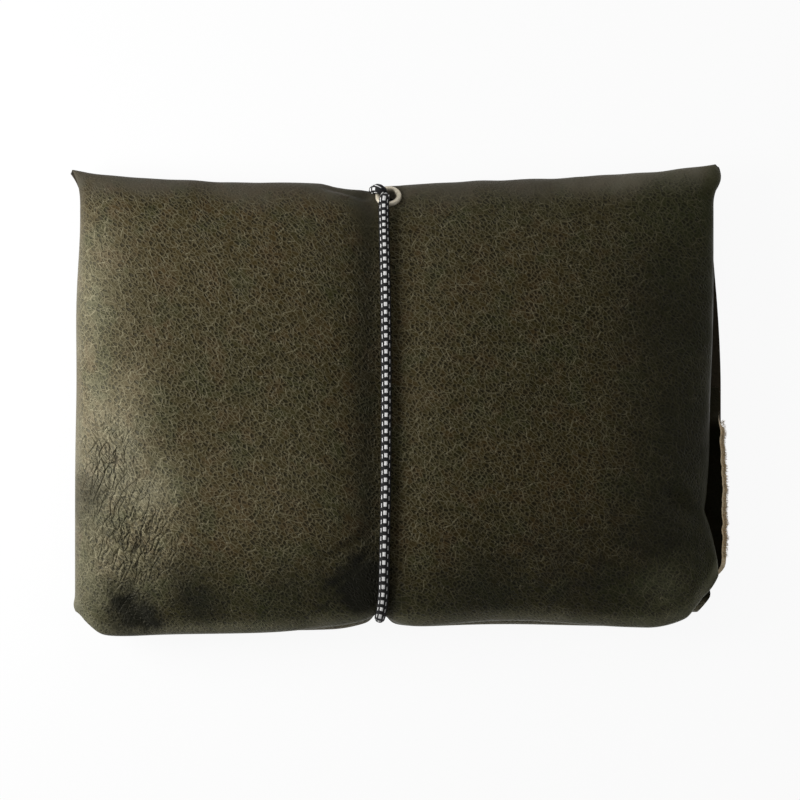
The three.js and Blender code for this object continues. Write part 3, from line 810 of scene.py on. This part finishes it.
# Braided elastic: white checks in staggered columns on black
def make_braid(name):
    material, tree, shader = new_material(name)
    skin = skin_place(tree)
    parts = add_node(tree, "ShaderNodeSeparateXYZ", {"Vector": skin})
    around, along = parts.outputs["X"], parts.outputs["Y"]
    column = calculate("FLOOR", around)
    thin = calculate("MODULO", column, 2.0)
    wide = calculate("LESS_THAN", calculate("MODULO", column, 4.0), 0.5)
    stagger = times(times(column, column), 0.29)
    in_row = from_middle(calculate("FRACT", plus(along, stagger)))
    in_column = from_middle(calculate("FRACT", around))
    half_width = between(thin, 0.0, 1.0, -0.1, 0.14)
    half_width = plus(half_width, times(wide, 0.5))
    inside = calculate("SUBTRACT", half_width, in_column)
    check = times(between(in_row, 0.23, 0.29, 1.0, 0.0), between(inside, -0.03, 0.04))
    strands = noise_value(drawn_out(skin, 0.12, (9, 1.2), "POINT"), 1.6)
    white = blend_colours(strands, (0.72, 0.71, 0.69), (0.98, 0.98, 0.97))
    black = blend_colours(strands, (0.003, 0.003, 0.003), (0.022, 0.021, 0.021))
    height = plus(times(strands, 0.5), check)
    looks = {
        "Base Color": blend_colours(check, black, white),
        "Roughness": 0.8,
        "Specular IOR Level": 0.25,
        "Normal": bump_normal(height, 0.00012),
    }
    fill_inputs(shader, looks)
    return material


# Pale nickel, lightly worn
def make_metal(name):
    material, tree, shader = new_material(name)
    wear = noise_value(object_place(tree), 900.0, 3.0)
    share = between(wear, 0.35, 0.7)
    looks = {
        "Base Color": blend_colours(share, (0.60, 0.53, 0.40), (0.72, 0.66, 0.54)),
        "Roughness": between(wear, 0.3, 0.7, 0.42, 0.56),
        "Metallic": 0.55,
        "Normal": bump_normal(wear, 0.00002),
    }
    fill_inputs(shader, looks)
    return material


# Waxed thread with its twist
def make_thread(name):
    material, tree, shader = new_material(name)
    inputs = {"Vector": object_place(tree), "Scale": 1300.0, "Distortion": 1.5}
    twist = add_node(tree, "ShaderNodeTexWave", inputs, bands_direction="DIAGONAL").outputs["Fac"]
    looks = {
        "Base Color": blend_colours(twist, (0.016, 0.013, 0.008), (0.05, 0.042, 0.026)),
        "Roughness": 0.7,
        "Normal": bump_normal(twist, 0.0001),
    }
    fill_inputs(shader, looks)
    return material


hide = make_leather("hide")
flesh = make_suede(
    "flesh_side", dark=(0.022, 0.017, 0.010), light=(0.048, 0.037, 0.022), scale=0.9, sheen=0.04
)
# The cut edge is far lighter than its own tan: painted light on the pocket's right raw edge, which lies in
# the flap's shadow
painted_bright_cut_edge = make_suede("painted_bright_cut_edge", dark=(0.78, 0.55, 0.30), light=(0.98, 0.85, 0.60), scale=1.6)
dark_edge = make_suede("dark_edge", dark=(0.012, 0.010, 0.006), light=(0.035, 0.029, 0.018), scale=1.6)
lining_suede = make_suede("lining_suede", dark=(0.085, 0.062, 0.033), light=(0.19, 0.14, 0.08), scale=0.8)
braid = make_braid("braid")
nickel = make_metal("nickel")
thread = make_thread("thread")


# Elastic: out of the eyelet, down the front, round the bottom, up the back and over the top
def elastic_route():
    front = []
    for y in np.linspace(60, -66, 22):
        x = -4.7 - 1.1 * (y / 70) ** 2
        front.append((x, y, front_z(x, y) + CORD_RADIUS - 0.1))
    low = flap_bottom(-7.0)
    fold_low = turn_up_edge(-7.0) - CORD_RADIUS - 0.1
    fold_z = (GROOVE_DEPTH + POCKET_HEIGHT) / 2
    under = 2.3
    bend = fold_z - under
    route = [
        seat_point(-0.6, -0.9, -4.2),
        seat_point(-0.7, -1.0, -1.4),
        seat_point(-0.9, -1.5, 1.3),
        seat_point(-1.3, -3.4, 3.0),
        seat_point(-1.6, -5.8, 2.6),
        *front,
        (-6.2, low + 3.0, front_z(-6.2, low + 3.0) + CORD_RADIUS - 0.4),
        (-6.7, low + 0.2, EDGE_Z + 4.4),
        (-7.0, low - 1.4, EDGE_Z + 0.4),
        (-7.1, fold_low, POCKET_HEIGHT),
    ]
    for k in range(4):
        angle = math.pi / 2 * k / 3
        y = fold_low + bend * (1 - math.cos(angle))
        route.append((-6.9 + 0.3 * k, y, fold_z - bend * math.sin(angle)))
    for y in np.linspace(fold_low + 3 * bend, 58, 9):
        route.append((lerp(-5.6, CORD_X, ramp(y, -70, -50)), y, under))
    _, reach, _, half, middle = fold_section(-0.04)
    gap = CORD_RADIUS - 1.1
    for part, x in ((0.70, -6.6), (0.62, -7.8), (0.54, -8.9), (0.47, -9.0)):
        angle = math.pi * part
        y = FOLD_CENTRE_Y + (reach + gap) * math.sin(angle)
        route.append((x, y, middle + (half + gap) * math.cos(angle)))
    route += [
        seat_point(-3.4, 1.7, 2.3),
        seat_point(-1.9, 0.9, 1.7),
        seat_point(-1.6, 0.7, -1.0),
        seat_point(-1.2, 1.1, -4.2),
    ]
    return np.array(route, float)


# Smooth curve through points, as evenly spaced places with their lengths along it
def smooth_curve(points, spacing):
    padded = np.concatenate([[2 * points[0] - points[1]], points, [2 * points[-1] - points[-2]]])
    p0, p1, p2, p3 = (padded[k : len(padded) - 3 + k, None] for k in range(4))
    t = np.linspace(0, 1, CURVE_STEPS, endpoint=False)[:, None]
    square = 2 * p0 - 5 * p1 + 4 * p2 - p3
    cubic = 3 * p1 - p0 - 3 * p2 + p3
    fine = 0.5 * (2 * p1 + (p2 - p0) * t + square * t**2 + cubic * t**3)
    fine = np.concatenate([fine.reshape(-1, 3), points[-1:]])
    length = lengths_along(fine)
    even = np.linspace(0, length[-1], int(length[-1] / spacing) + 2)
    return np.stack([np.interp(even, length, fine[:, k]) for k in range(3)], 1), even


def tube_frames(path):
    along = np.gradient(path, axis=0)
    along /= np.linalg.norm(along, axis=1)[:, None]
    side = np.cross(along[0], [0.0, 0.0, 1.0])
    sides = []
    for direction in along:
        side = side - direction * (side @ direction)
        side /= np.linalg.norm(side)
        sides.append(side)
    sides = np.array(sides)
    return sides, np.cross(along, sides)


def tube_points(path, across, up, turn, radius):
    ring = across[:, None] * np.cos(turn)[:, None] + up[:, None] * np.sin(turn)[:, None]
    return (path[:, None] + ring * radius[..., None]).reshape(-1, 3)


# Closed tube along a path, its radius given for each place and angle
def make_tube(name, path, lengths, radius_at, sides, columns_round, pitch, facings):
    across, up = tube_frames(path)
    turn = even_turn(sides)
    radius = radius_at(lengths[:, None], turn[None, :])
    shifts = [math.atan2(up[k, 2], across[k, 2]) / FULL_TURN * columns_round for k in facings]
    shifts = np.unwrap(shifts, period=columns_round / 2)
    shift = np.interp(np.arange(len(path)), facings, shifts)
    marks = np.concatenate([[0], np.cumsum(np.diff(lengths) / pitch(lengths[1:]))])
    columns = turn[None, :] / FULL_TURN * columns_round - shift[:, None] + 4 * columns_round + 0.5
    step = columns_round / sides
    uvs = []
    for i in range(len(path) - 1):
        for a, b in zip(columns[i], columns[i + 1]):
            uvs += [(a, marks[i]), (a + step, marks[i]), (b + step, marks[i + 1]), (b, marks[i + 1])]
    points = np.concatenate([tube_points(path, across, up, turn, radius), path[:1], path[-1:]])
    first_end, last_end = len(points) - 2, len(points) - 1
    grid = point_grid(len(path), sides)
    faces = [*quads(grid, ring=True)]
    faces += [(b, a, first_end) for a, b in zip(grid[0], np.roll(grid[0], -1))]
    faces += [(a, b, last_end) for a, b in zip(grid[-1], np.roll(grid[-1], -1))]
    uvs += [(0, 0)] * (6 * sides)
    piece = make_mesh(name, points, faces, [braid])
    set_uvs(piece.data, uvs)
    return piece


def make_elastic():
    path, lengths = smooth_curve(elastic_route(), 0.42)
    total = lengths[-1]

    def radius_at(length, turn):
        from_end = np.minimum(length, total - length)
        squeeze = lerp(1.2, CORD_RADIUS, ramp(from_end, 3, 9))
        braided = np.cos(8 * turn + FULL_TURN * length / 5.1) * np.cos(FULL_TURN * length / 2.55)
        return squeeze + 0.07 * braided

    def pitch(length):
        return 2.05 + 0.62 * ramp(length, 0, 45) + 0.2 * ramp(length, 45, 145)

    half = len(path) // 2
    facings = [half // 2, half, half + int(np.argmax(path[half:, 1]))]
    piece = make_tube("elastic", path, lengths, radius_at, 32, 8, pitch, facings)
    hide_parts("elastic_loop")
    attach(piece, "elastic")
    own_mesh(piece)


make_elastic()


# The front's edge, rolled under the padding: rows of points and texture places along its border, and
# how far the roll has faded in at each place
def roll_edge(rim, rim_uvs):
    reach = HEM_TANGENT_REACH
    ahead = np.concatenate([rim[reach:], np.repeat(rim[-1:], reach, 0)])
    behind = np.concatenate([np.repeat(rim[:1], reach, 0), rim[:-reach]])
    along = (ahead - behind)[:, :2]
    along /= np.linalg.norm(along, axis=1)[:, None]
    inward = np.stack([-along[:, 1], along[:, 0], np.zeros(len(along))], 1)
    down = np.array([0, 0, -1.0])
    place = np.linspace(0, 1, len(rim))
    fade = lerp(HEM_LEAST, 1, ramp(place, 0, HEM_FADE) * ramp(place, 1, 1 - HEM_FADE))[:, None]
    radius = HEM_RADIUS * fade
    rows, row_uvs = [], []
    for angle in HEM_ANGLES:
        rows.append(rim + inward * radius * (1 - math.cos(angle)) + down * radius * math.sin(angle))
        row_uvs.append(rim_uvs - inward[:, :2] * radius * angle)
    for flat in HEM_FLATS:
        rows.append(rim + inward * (radius + flat * fade) + down * radius)
        row_uvs.append(rim_uvs - inward[:, :2] * (radius * math.pi / 2 + flat * fade))
    return rows, row_uvs, fade.ravel()


# Leather cover: padded front, top fold and back in one piece of hide
def make_cover():
    half = np.linspace(0, 1, HALF_COLUMNS + 1)
    half = lerp(half, np.sin(np.pi / 2 * half), 0.4)
    f = np.concatenate([-half[::-1], half[1:]])
    rows = np.linspace(0, 1, FRONT_ROWS + 1)
    front = front_points(*np.meshgrid(f, lerp(rows, 1 - np.cos(np.pi / 2 * rows), 0.45)))
    fold = fold_points(*np.meshgrid(f, steps(FOLD_ROWS)))
    back = back_points(*np.meshgrid(f, steps(BACK_ROWS)))
    points, from_eyelet = press_seat(np.concatenate([front, fold, back]))
    uvs = grid_uvs(points, FRONT_ROWS + FOLD_ROWS // 2, HALF_COLUMNS)
    uvs[..., 1] *= -1
    grid = point_grid(*points.shape[:2])
    faces = quads(grid)
    faces = faces[from_eyelet.ravel()[faces].mean(axis=1) >= EYELET_HOLE]
    points, uvs = points.reshape(-1, 3), uvs.reshape(-1, 2)

    top_row = int(HEM_TOP_SHARE * FRONT_ROWS)
    border = np.concatenate([grid[top_row:0:-1, 0], grid[0, :], grid[1 : top_row + 1, -1]])
    hem, hem_uvs, fade = roll_edge(points[border], uvs[border])
    lines = np.concatenate([border[None], point_grid(len(hem), len(border), len(points))])
    faces = np.concatenate([faces, quads(lines)[:, TURNED_OVER]])
    shares = np.concatenate([np.ones(len(points)), np.tile(fade, len(hem))])
    points = np.concatenate([points, *hem])
    uvs = np.concatenate([uvs, *hem_uvs])
    used = np.unique(faces)
    renumber = np.zeros(len(points), int)
    renumber[used] = np.arange(len(used))
    materials = (hide, flesh, dark_edge)
    cover = make_mesh("leather_cover", points[used], renumber[faces], materials, uvs[used])
    mark_cover(cover, points[used])
    thicken(cover, LEATHER - 0.2, shares[used])
    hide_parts("front_panel", "top_fold", "back_panel", "front_wadding")
    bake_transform(cover)


# Marks of the hide: calm bands without grain, cool areas, a pale band of painted sheen, real stains with
# painted shade, cracks, and painted light and highlights
def mark_cover(cover, points):
    x, y, z = points.T
    on_front = ramp(z, 9, 12)
    wander = 3.0 * noise_at(x, y, 12, 11)
    band_edge = top_edge(x) - 1.5 * wander - 1.6 * noise_at(x, y, 3.5, 17)
    band = ramp(y - band_edge, -11, 1) * ramp(z, 2, 11)
    right_rim = ramp(x + 0.3 * wander - flap_right_at(y), -6, -1)
    left_rim = ramp(x - 0.3 * wander - flap_left_at(y), 3.5, 0.5)
    above_bottom = y - flap_bottom(x)
    bottom_rim = ramp(above_bottom - 0.4 * wander, 5.5, 1.5)
    beside_cord = x - CORD_X + 6
    valley = 0.8 * bell(beside_cord, 6.0) * ramp(y, 38, 64)
    calm = band + 0.8 * right_rim + 0.5 * left_rim + 0.3 * bottom_rim + valley
    # Painted sheen: paler along the top fold and the left rim, less at the right rim
    pale = band + 0.5 * left_rim - 0.5 * right_rim
    cool = 0.9 * ramp(x, 62, 102) + 0.7 * ramp(y, -48, -70) + 0.5 * ramp(y, 52, 70) * ramp(x, 0, 40)

    # Real stains mixed with painted shade, from the table
    stain = spots(x, y, STAINS_AND_SHADE, 1 + 0.45 * noise_at(x, y, 6, 13) + 0.4 * noise_at(x, y, 2.2, 14))
    # Painted shade on the right side, darker towards its edge
    stain += 0.34 * ramp(x, 60, 86) * ramp(y, 66, 41) * ramp(y, -62, -48)
    # Painted shade in the valley left of the elastic, down the front
    stain += 0.65 * bell(beside_cord, 5.5) * ramp(y, 72, 64) * ramp(y, -76, -70)
    stain = np.clip(stain, 0, 1) * (1 - 0.5 * bell(above_bottom - 1.0, 2.5) * ramp(x, -80, -74))
    cracks = sum(bell(x - x0, wide) * bell(y - y0, tall) for x0, y0, wide, tall in CRACKED_PATCHES)
    # Painted light: a bright left edge and cracked patch as painted highlights, the listed spots, a
    # painted highlight along the flap's lower rim and a lighter top band at the right, all less over the
    # stains and shade
    worn = 0.85 * bell(x + 114, 15) * ramp(y, 78, 43) * ramp(y, -80, -68) + 0.7 * cracks
    worn += spots(x, y, PAINTED_LIGHT_SPOTS) + 1.3 * bell(above_bottom - 1.0, 3.2) + 0.5 * band * ramp(x, 40, 100)
    worn *= (1 + 0.35 * noise_at(x, y, 9, 15)) * (1 - stain)

    add_attributes(
        cover,
        calm=np.clip(calm, 0, 1),
        pale=np.clip(pale, 0, 1),
        cool=np.clip(cool * (1 - 0.7 * band), 0, 1),
        stain=stain * on_front,
        cracks=np.clip(cracks, 0, 1) * on_front,
        worn=np.clip(worn, 0, 1.3) * on_front,
    )


make_cover()


# Pocket leather: turns up in the bottom fold and is sewn into needle channels
def channel_share(x):
    share = np.zeros(np.shape(x))
    for seams in (SEAMS_LEFT, SEAMS_RIGHT):
        for low, high in zip(seams[:-1], seams[1:]):
            reach = (high - low) / 2 - DIVIDER_HALF_WIDTH
            inside = np.clip((np.minimum(x - low, high - x) - DIVIDER_HALF_WIDTH) / reach, 0, 1)
            arch = np.sqrt(np.clip(1 - (1 - inside) ** 4, 0, None))
            share = np.maximum(share, arch * ramp(inside, 0, 0.12))
    return share


# Columns of the pocket: the left margin, the sewn part and the right margin
MARGIN_LEFT = np.linspace(0, 1, 9)[:-1]
MARGIN_RIGHT = steps(14)
SEWN_X = np.linspace(-SEAM_END, SEAM_END, POCKET_COLUMNS)
COLUMN_X = np.pad(SEWN_X, (len(MARGIN_LEFT), len(MARGIN_RIGHT)), "edge")


# One row of the pocket from left to right, its right edge curled up by a share of the full curl
def pocket_row(y, z_of, curl):
    on_left, on_right = slice(0, len(MARGIN_LEFT)), slice(-len(MARGIN_RIGHT), None)
    edge_left = BACK_LEFT + corner_cut(y[on_left])
    edge_right = raw_edge_at(y[on_right])
    edge_right = edge_right + 0.45 * curl * noise_at(edge_right, y[on_right], 2.4, 22)
    bend = CURL_ANGLE * max(curl, 0.02)
    angle = bend * MARGIN_RIGHT
    curled = lerp(SEAM_END, edge_right - CURL_DRAW_IN * curl, np.sin(angle) / math.sin(bend))
    x = np.concatenate([lerp(edge_left, -SEAM_END, MARGIN_LEFT), SEWN_X, curled])
    z = z_of(x)
    z[on_right] += CURL_LIFT * curl * (1 - np.cos(angle)) / (1 - math.cos(CURL_ANGLE))
    z[on_left] += LEFT_EDGE_LIFT * curl * (1 - MARGIN_LEFT) ** 2
    return np.stack([x, y, z], -1)


def make_pocket():
    rows = []
    for angle in np.linspace(-math.pi / 2, math.pi / 2, POCKET_TURN_ROWS):

        def turn_z(x, angle=angle):
            return (POCKET_HEIGHT + groove(x)) / 2 + fold_radius(x) * math.sin(angle)

        y = fold_join(COLUMN_X) - fold_radius(COLUMN_X) * math.cos(angle)
        rows.append(pocket_row(y, turn_z, 0.0))
    for part in steps(POCKET_ROWS):
        rise = part * POCKET_LENGTH
        fade = ramp(rise, 0, CHANNEL_START)

        def pocket_z(x, fade=fade, rise=rise):
            floor = POCKET_FLOOR + groove(x)
            share = 1 - (1 - channel_share(x)) * fade
            soft = 0.35 * noise_at(x, np.full(len(x), rise), 16, 21) * fade
            return floor + (POCKET_CREST - floor) * share + LEATHER + soft

        y = lerp(fold_join(COLUMN_X) + 0.1, POCKET_MOUTH + 0.5 * np.sin(COLUMN_X / 9), part)
        rows.append(pocket_row(y, pocket_z, fade * ramp(rise, 77, 65)))
    points = np.array(rows)
    uvs = grid_uvs(points, 0, points.shape[1] // 2)
    faces = quads(point_grid(*points.shape[:2]))
    pocket = make_mesh("pocket_leather", points, faces, (hide, flesh, painted_bright_cut_edge), uvs)
    x, y = points[..., 0], points[..., 1]
    turned = ramp(fold_join(x) - y, 0, 3)
    # Painted light on the strip turned up in the bottom fold; painted shade on the right margin, with no
    # grain lines and darkened; the cut edge and flesh are dimmed away from the right raw edge
    margin = ramp(x, 99, 102) * (1 - turned)
    add_attributes(pocket, worn=1.2 * turned, calm=margin, aged=ramp(x, 95, 70), stain=0.7 * margin)
    thicken(pocket, LEATHER - 0.1)
    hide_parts("bottom_fold", "pocket_panel_left", "pocket_panel_right")
    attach(pocket, "back")
    return points


pocket_points = make_pocket()


# Short fibres standing out of the pocket's raw edge
def make_fibres():
    draw = np.random.default_rng(5)
    edge = pocket_points[FIBRE_ROWS, -1]
    points, faces = [], []
    for _ in range(FIBRE_COUNT):
        place = draw.uniform(0, len(edge) - 1.01)
        k = int(place)
        root = lerp(edge[k], edge[k + 1], place - k) + np.array([draw.uniform(0.5, 1.8), 0, 0.0])
        lean = np.array([draw.normal(0.7, 0.35), draw.normal(0, 0.6), draw.uniform(0.3, 1.1)])
        lean *= draw.uniform(0.4, 1.0) / np.linalg.norm(lean)
        aside = np.cross(lean, [0.3, 0.2, 1.0])
        aside *= FIBRE_RADIUS / np.linalg.norm(aside)
        other = np.cross(lean, aside)
        other *= FIBRE_RADIUS / np.linalg.norm(other)
        a, b, c, tip = range(len(points), len(points) + 4)
        points += [root + aside, root - 0.5 * aside + other, root - 0.5 * aside - other, root + lean]
        faces += [(a, b, tip), (b, c, tip), (c, a, tip), (a, c, b)]
    # The fibres keep the cut edge's full painted light
    fibres = make_mesh("raw_edge_fibres", points, faces, [painted_bright_cut_edge], np.array(points)[:, 1:])
    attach(fibres, "back")


make_fibres()


# Lining: closes the flap's inner face and turns up to the leather below the top fold
def make_lining():
    f, t = np.meshgrid(np.linspace(-1, 1, LINING_COLUMNS), np.linspace(0, 1, LINING_ROWS))
    plain = column_x(f, FLAP_LEFT + LINING_INSET, FLAP_RIGHT - LINING_INSET)
    high = LINING_TOP + LINING_PAST_TOP
    y = lerp(flap_bottom(plain) + LINING_INSET, high, t)
    x = column_x(f, flap_left_at(y) + LINING_INSET, flap_right_at(y) - LINING_INSET)
    roof = front_z(np.clip(x, -106, 102), np.full(x.shape, high)) - LEATHER - 0.2
    limit = front_z(x + LEATHER * np.sign(x - CORD_X), y) - LEATHER - 0.3
    roof = np.maximum(np.minimum(roof, limit), LINING_Z + 0.3)
    soft = 0.2 * noise_at(x, y, 18, 31)
    z = lerp(LINING_Z + soft, roof, ramp(y, high - LINING_TURN, high) ** 1.5)
    points = np.stack([x, y, z], -1)
    uvs = grid_uvs(points, 0, LINING_COLUMNS // 2)
    faces = quads(point_grid(*points.shape[:2]))[:, ::-1]
    lining = make_mesh("flap_lining", points, faces, [lining_suede] * 3, uvs)
    thicken(lining, LINING_THICKNESS)
    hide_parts("front_lining")
    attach(lining, "front_flap")
    return points


lining_points = make_lining()


# Stitches: short waxed loops that dip into the sheet at both ends
def make_stitches(name, routes, nodes, body, pitch=3.4, length=2.7, radius=0.38):
    points, faces, sides = [], [], 8
    profile = np.linspace(0, 1, 9)
    to_end = np.abs(2 * profile - 1)
    thick = radius * np.sqrt(np.clip(1 - to_end**4, 0.05, 1))
    for route, normal in routes:
        path, lengths = smooth_curve(np.asarray(route, float), 0.25)
        for start in np.arange(pitch / 2, lengths[-1] - length, pitch):
            stops = start + profile * length
            centre = np.stack([np.interp(stops, lengths, path[:, k]) for k in range(3)], 1)
            centre = centre + np.outer(0.25 - 0.5 * to_end**3, normal)
            grid = point_grid(len(profile), sides, len(points))
            points += tube_points(centre, *tube_frames(centre), even_turn(sides), thick[:, None]).tolist()
            faces += [*quads(grid, ring=True), grid[0, ::-1], grid[-1]]
    piece = make_mesh(name, points, faces, [thread])
    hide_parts(*nodes)
    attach(piece, body)


def make_all_stitches():
    routes = []
    for x in (*SEAMS_LEFT, *SEAMS_RIGHT):
        low = fold_join(x) + CHANNEL_START
        routes.append(([(x, y, POCKET_FLOOR + LEATHER) for y in np.linspace(low, 2.0, 12)], (0, 0, 1)))
    make_stitches("pocket_stitches", routes, [f"pocket_seam_{k}" for k in range(1, 11)], "back")
    rows = slice(4, 76)
    left = lining_points[rows, 2][::-1]
    bottom = lining_points[3, 2:-2]
    right = lining_points[rows, -3]
    route = np.concatenate([side[::6] for side in (left, bottom, right)])
    make_stitches("lining_stitches", [(route, (0, 0, -1))], ["flap_seam"], "front_flap")


make_all_stitches()


# Eyelet and washer, turned from rounded profiles about the seat's axis
def make_turned(name, profile, node):
    count = 72
    turn = even_turn(count)
    ring = np.outer(np.cos(turn), [1.0, 0.0, 0.0]) + np.outer(np.sin(turn), OVER_TOP)
    points = [SEAT + radius * ring + height * OUTWARD for radius, height in profile]
    grid = point_grid(len(profile), count)
    faces = quads(np.concatenate([grid, grid[:1]]), ring=True)
    piece = make_mesh(name, points, faces, [nickel])
    piece.data.set_sharp_from_angle(angle=math.radians(50))
    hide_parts(node)
    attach(piece, "front_flap")


def make_eyelet():
    middle = (BORE_RADIUS + FLANGE_RADIUS) / 2
    half = (FLANGE_RADIUS - BORE_RADIUS) / 2
    profile = []
    for angle in np.linspace(0, math.pi, 15):
        height = 0.2 + (FLANGE_TOP - 0.2) * math.sin(angle) ** 0.8
        profile.append((middle + half * math.cos(angle), height))
    profile += [
        (BORE_RADIUS, -1.0),
        (BORE_RADIUS, BARREL_END),
        (BORE_RADIUS + 0.5, BARREL_END - 0.15),
        (BORE_RADIUS + 0.9, BARREL_END + 0.1),
        (BORE_RADIUS + 0.9, BARREL_END + 0.5),
        (BORE_RADIUS + 0.4, BARREL_END + 0.55),
        (BORE_RADIUS + 0.4, 0.05),
        (FLANGE_RADIUS - 0.2, 0.02),
    ]
    make_turned("eyelet_ring", profile, "eyelet")
    top, low = WASHER_TOP, WASHER_LOW
    inner, outer = BORE_RADIUS + 0.7, FLANGE_RADIUS
    rounded = [(inner, low + 0.1), (inner + 0.1, low), (outer - 0.15, low), (outer, low + 0.15)]
    rounded += [(outer, top - 0.15), (outer - 0.15, top), (inner + 0.1, top), (inner, top - 0.1)]
    make_turned("washer_ring", rounded[::-1], "eyelet_washer")


make_eyelet()


# Knot that stops the elastic's two ends inside
def make_knot():
    route = []
    for a in even_turn(40):
        right = 0.62 * (math.sin(a) + 2 * math.sin(2 * a))
        over = 0.62 * (math.cos(a) - 2 * math.cos(2 * a))
        route.append(seat_point(right, over, BARREL_END - 1.7 - 0.75 * math.sin(3 * a)))
    route += [seat_point(0.9, -0.6, BARREL_END - 2.6), seat_point(1.9, -2.2, BARREL_END - 2.9)]
    path, lengths = smooth_curve(np.array(route), 0.2)

    def radius_at(length, angle):
        return 0.85 + 0.04 * np.cos(8 * angle + length) * np.cos(FULL_TURN * length / 1.6)

    def pitch(length):
        return np.full(len(length), 1.6)

    knot = make_tube("elastic_knot_tied", path, lengths, radius_at, 20, 8, pitch, [0])
    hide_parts("elastic_knot")
    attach(knot, "front_flap")


make_knot()


# Floor with an upturned far edge, white to the camera and to reflections, with the object's shadow
def make_stage():
    count = 64
    points = [(0, 0, 0)]
    for radius, height in STAGE_PROFILE:
        points += [(radius * math.cos(a), radius * math.sin(a), height) for a in even_turn(count)]
    grid = point_grid(len(STAGE_PROFILE), count, 1)
    faces = [(0, a, b) for a, b in zip(grid[0], np.roll(grid[0], -1))]
    faces += [*quads(grid, ring=True)[:, TURNED_OVER]]
    material, tree, shader = new_material("floor_white")
    looks = {"Base Color": (0.86, 0.86, 0.86, 1), "Roughness": 0.9, "Specular IOR Level": 0.0}
    fill_inputs(shader, looks)
    rays = add_node(tree, "ShaderNodeLightPath")
    seen = calculate("MAXIMUM", rays.outputs["Is Camera Ray"], rays.outputs["Is Glossy Ray"])
    seen = calculate("MAXIMUM", seen, rays.outputs["Is Transmission Ray"])
    glow = add_node(tree, "ShaderNodeEmission", {"Color": (1, 1, 1, 1), "Strength": 1.0})
    inputs = {0: times(seen, 0.93), 1: shader.outputs[0], 2: glow.outputs[0]}
    mixed = add_node(tree, "ShaderNodeMixShader", inputs)
    tree.links.new(mixed.outputs[0], tree.nodes["Material Output"].inputs["Surface"])
    floor = make_mesh("floor", np.array(points) / MM, faces, [material])


make_stage()


def make_light():
    world = bpy.data.worlds.new("studio")
    world.use_nodes = True
    fill_inputs(world.node_tree.nodes["Background"], {"Color": (1, 1, 1, 1), "Strength": WORLD_STRENGTH})
    scene.world = world
    for name, place, target, size, power in LAMPS:
        data = bpy.data.lights.new(name, "AREA")
        data.shape = "DISK"
        data.size = size
        data.energy = power
        lamp = bpy.data.objects.new(name, data)
        lamp.location = place
        lamp.rotation_euler = (Vector(target) - Vector(place)).to_track_quat("-Z", "Y").to_euler()
        lamp.visible_camera = False
        scene.collection.objects.link(lamp)


make_light()
scene.view_settings.view_transform = "Standard"
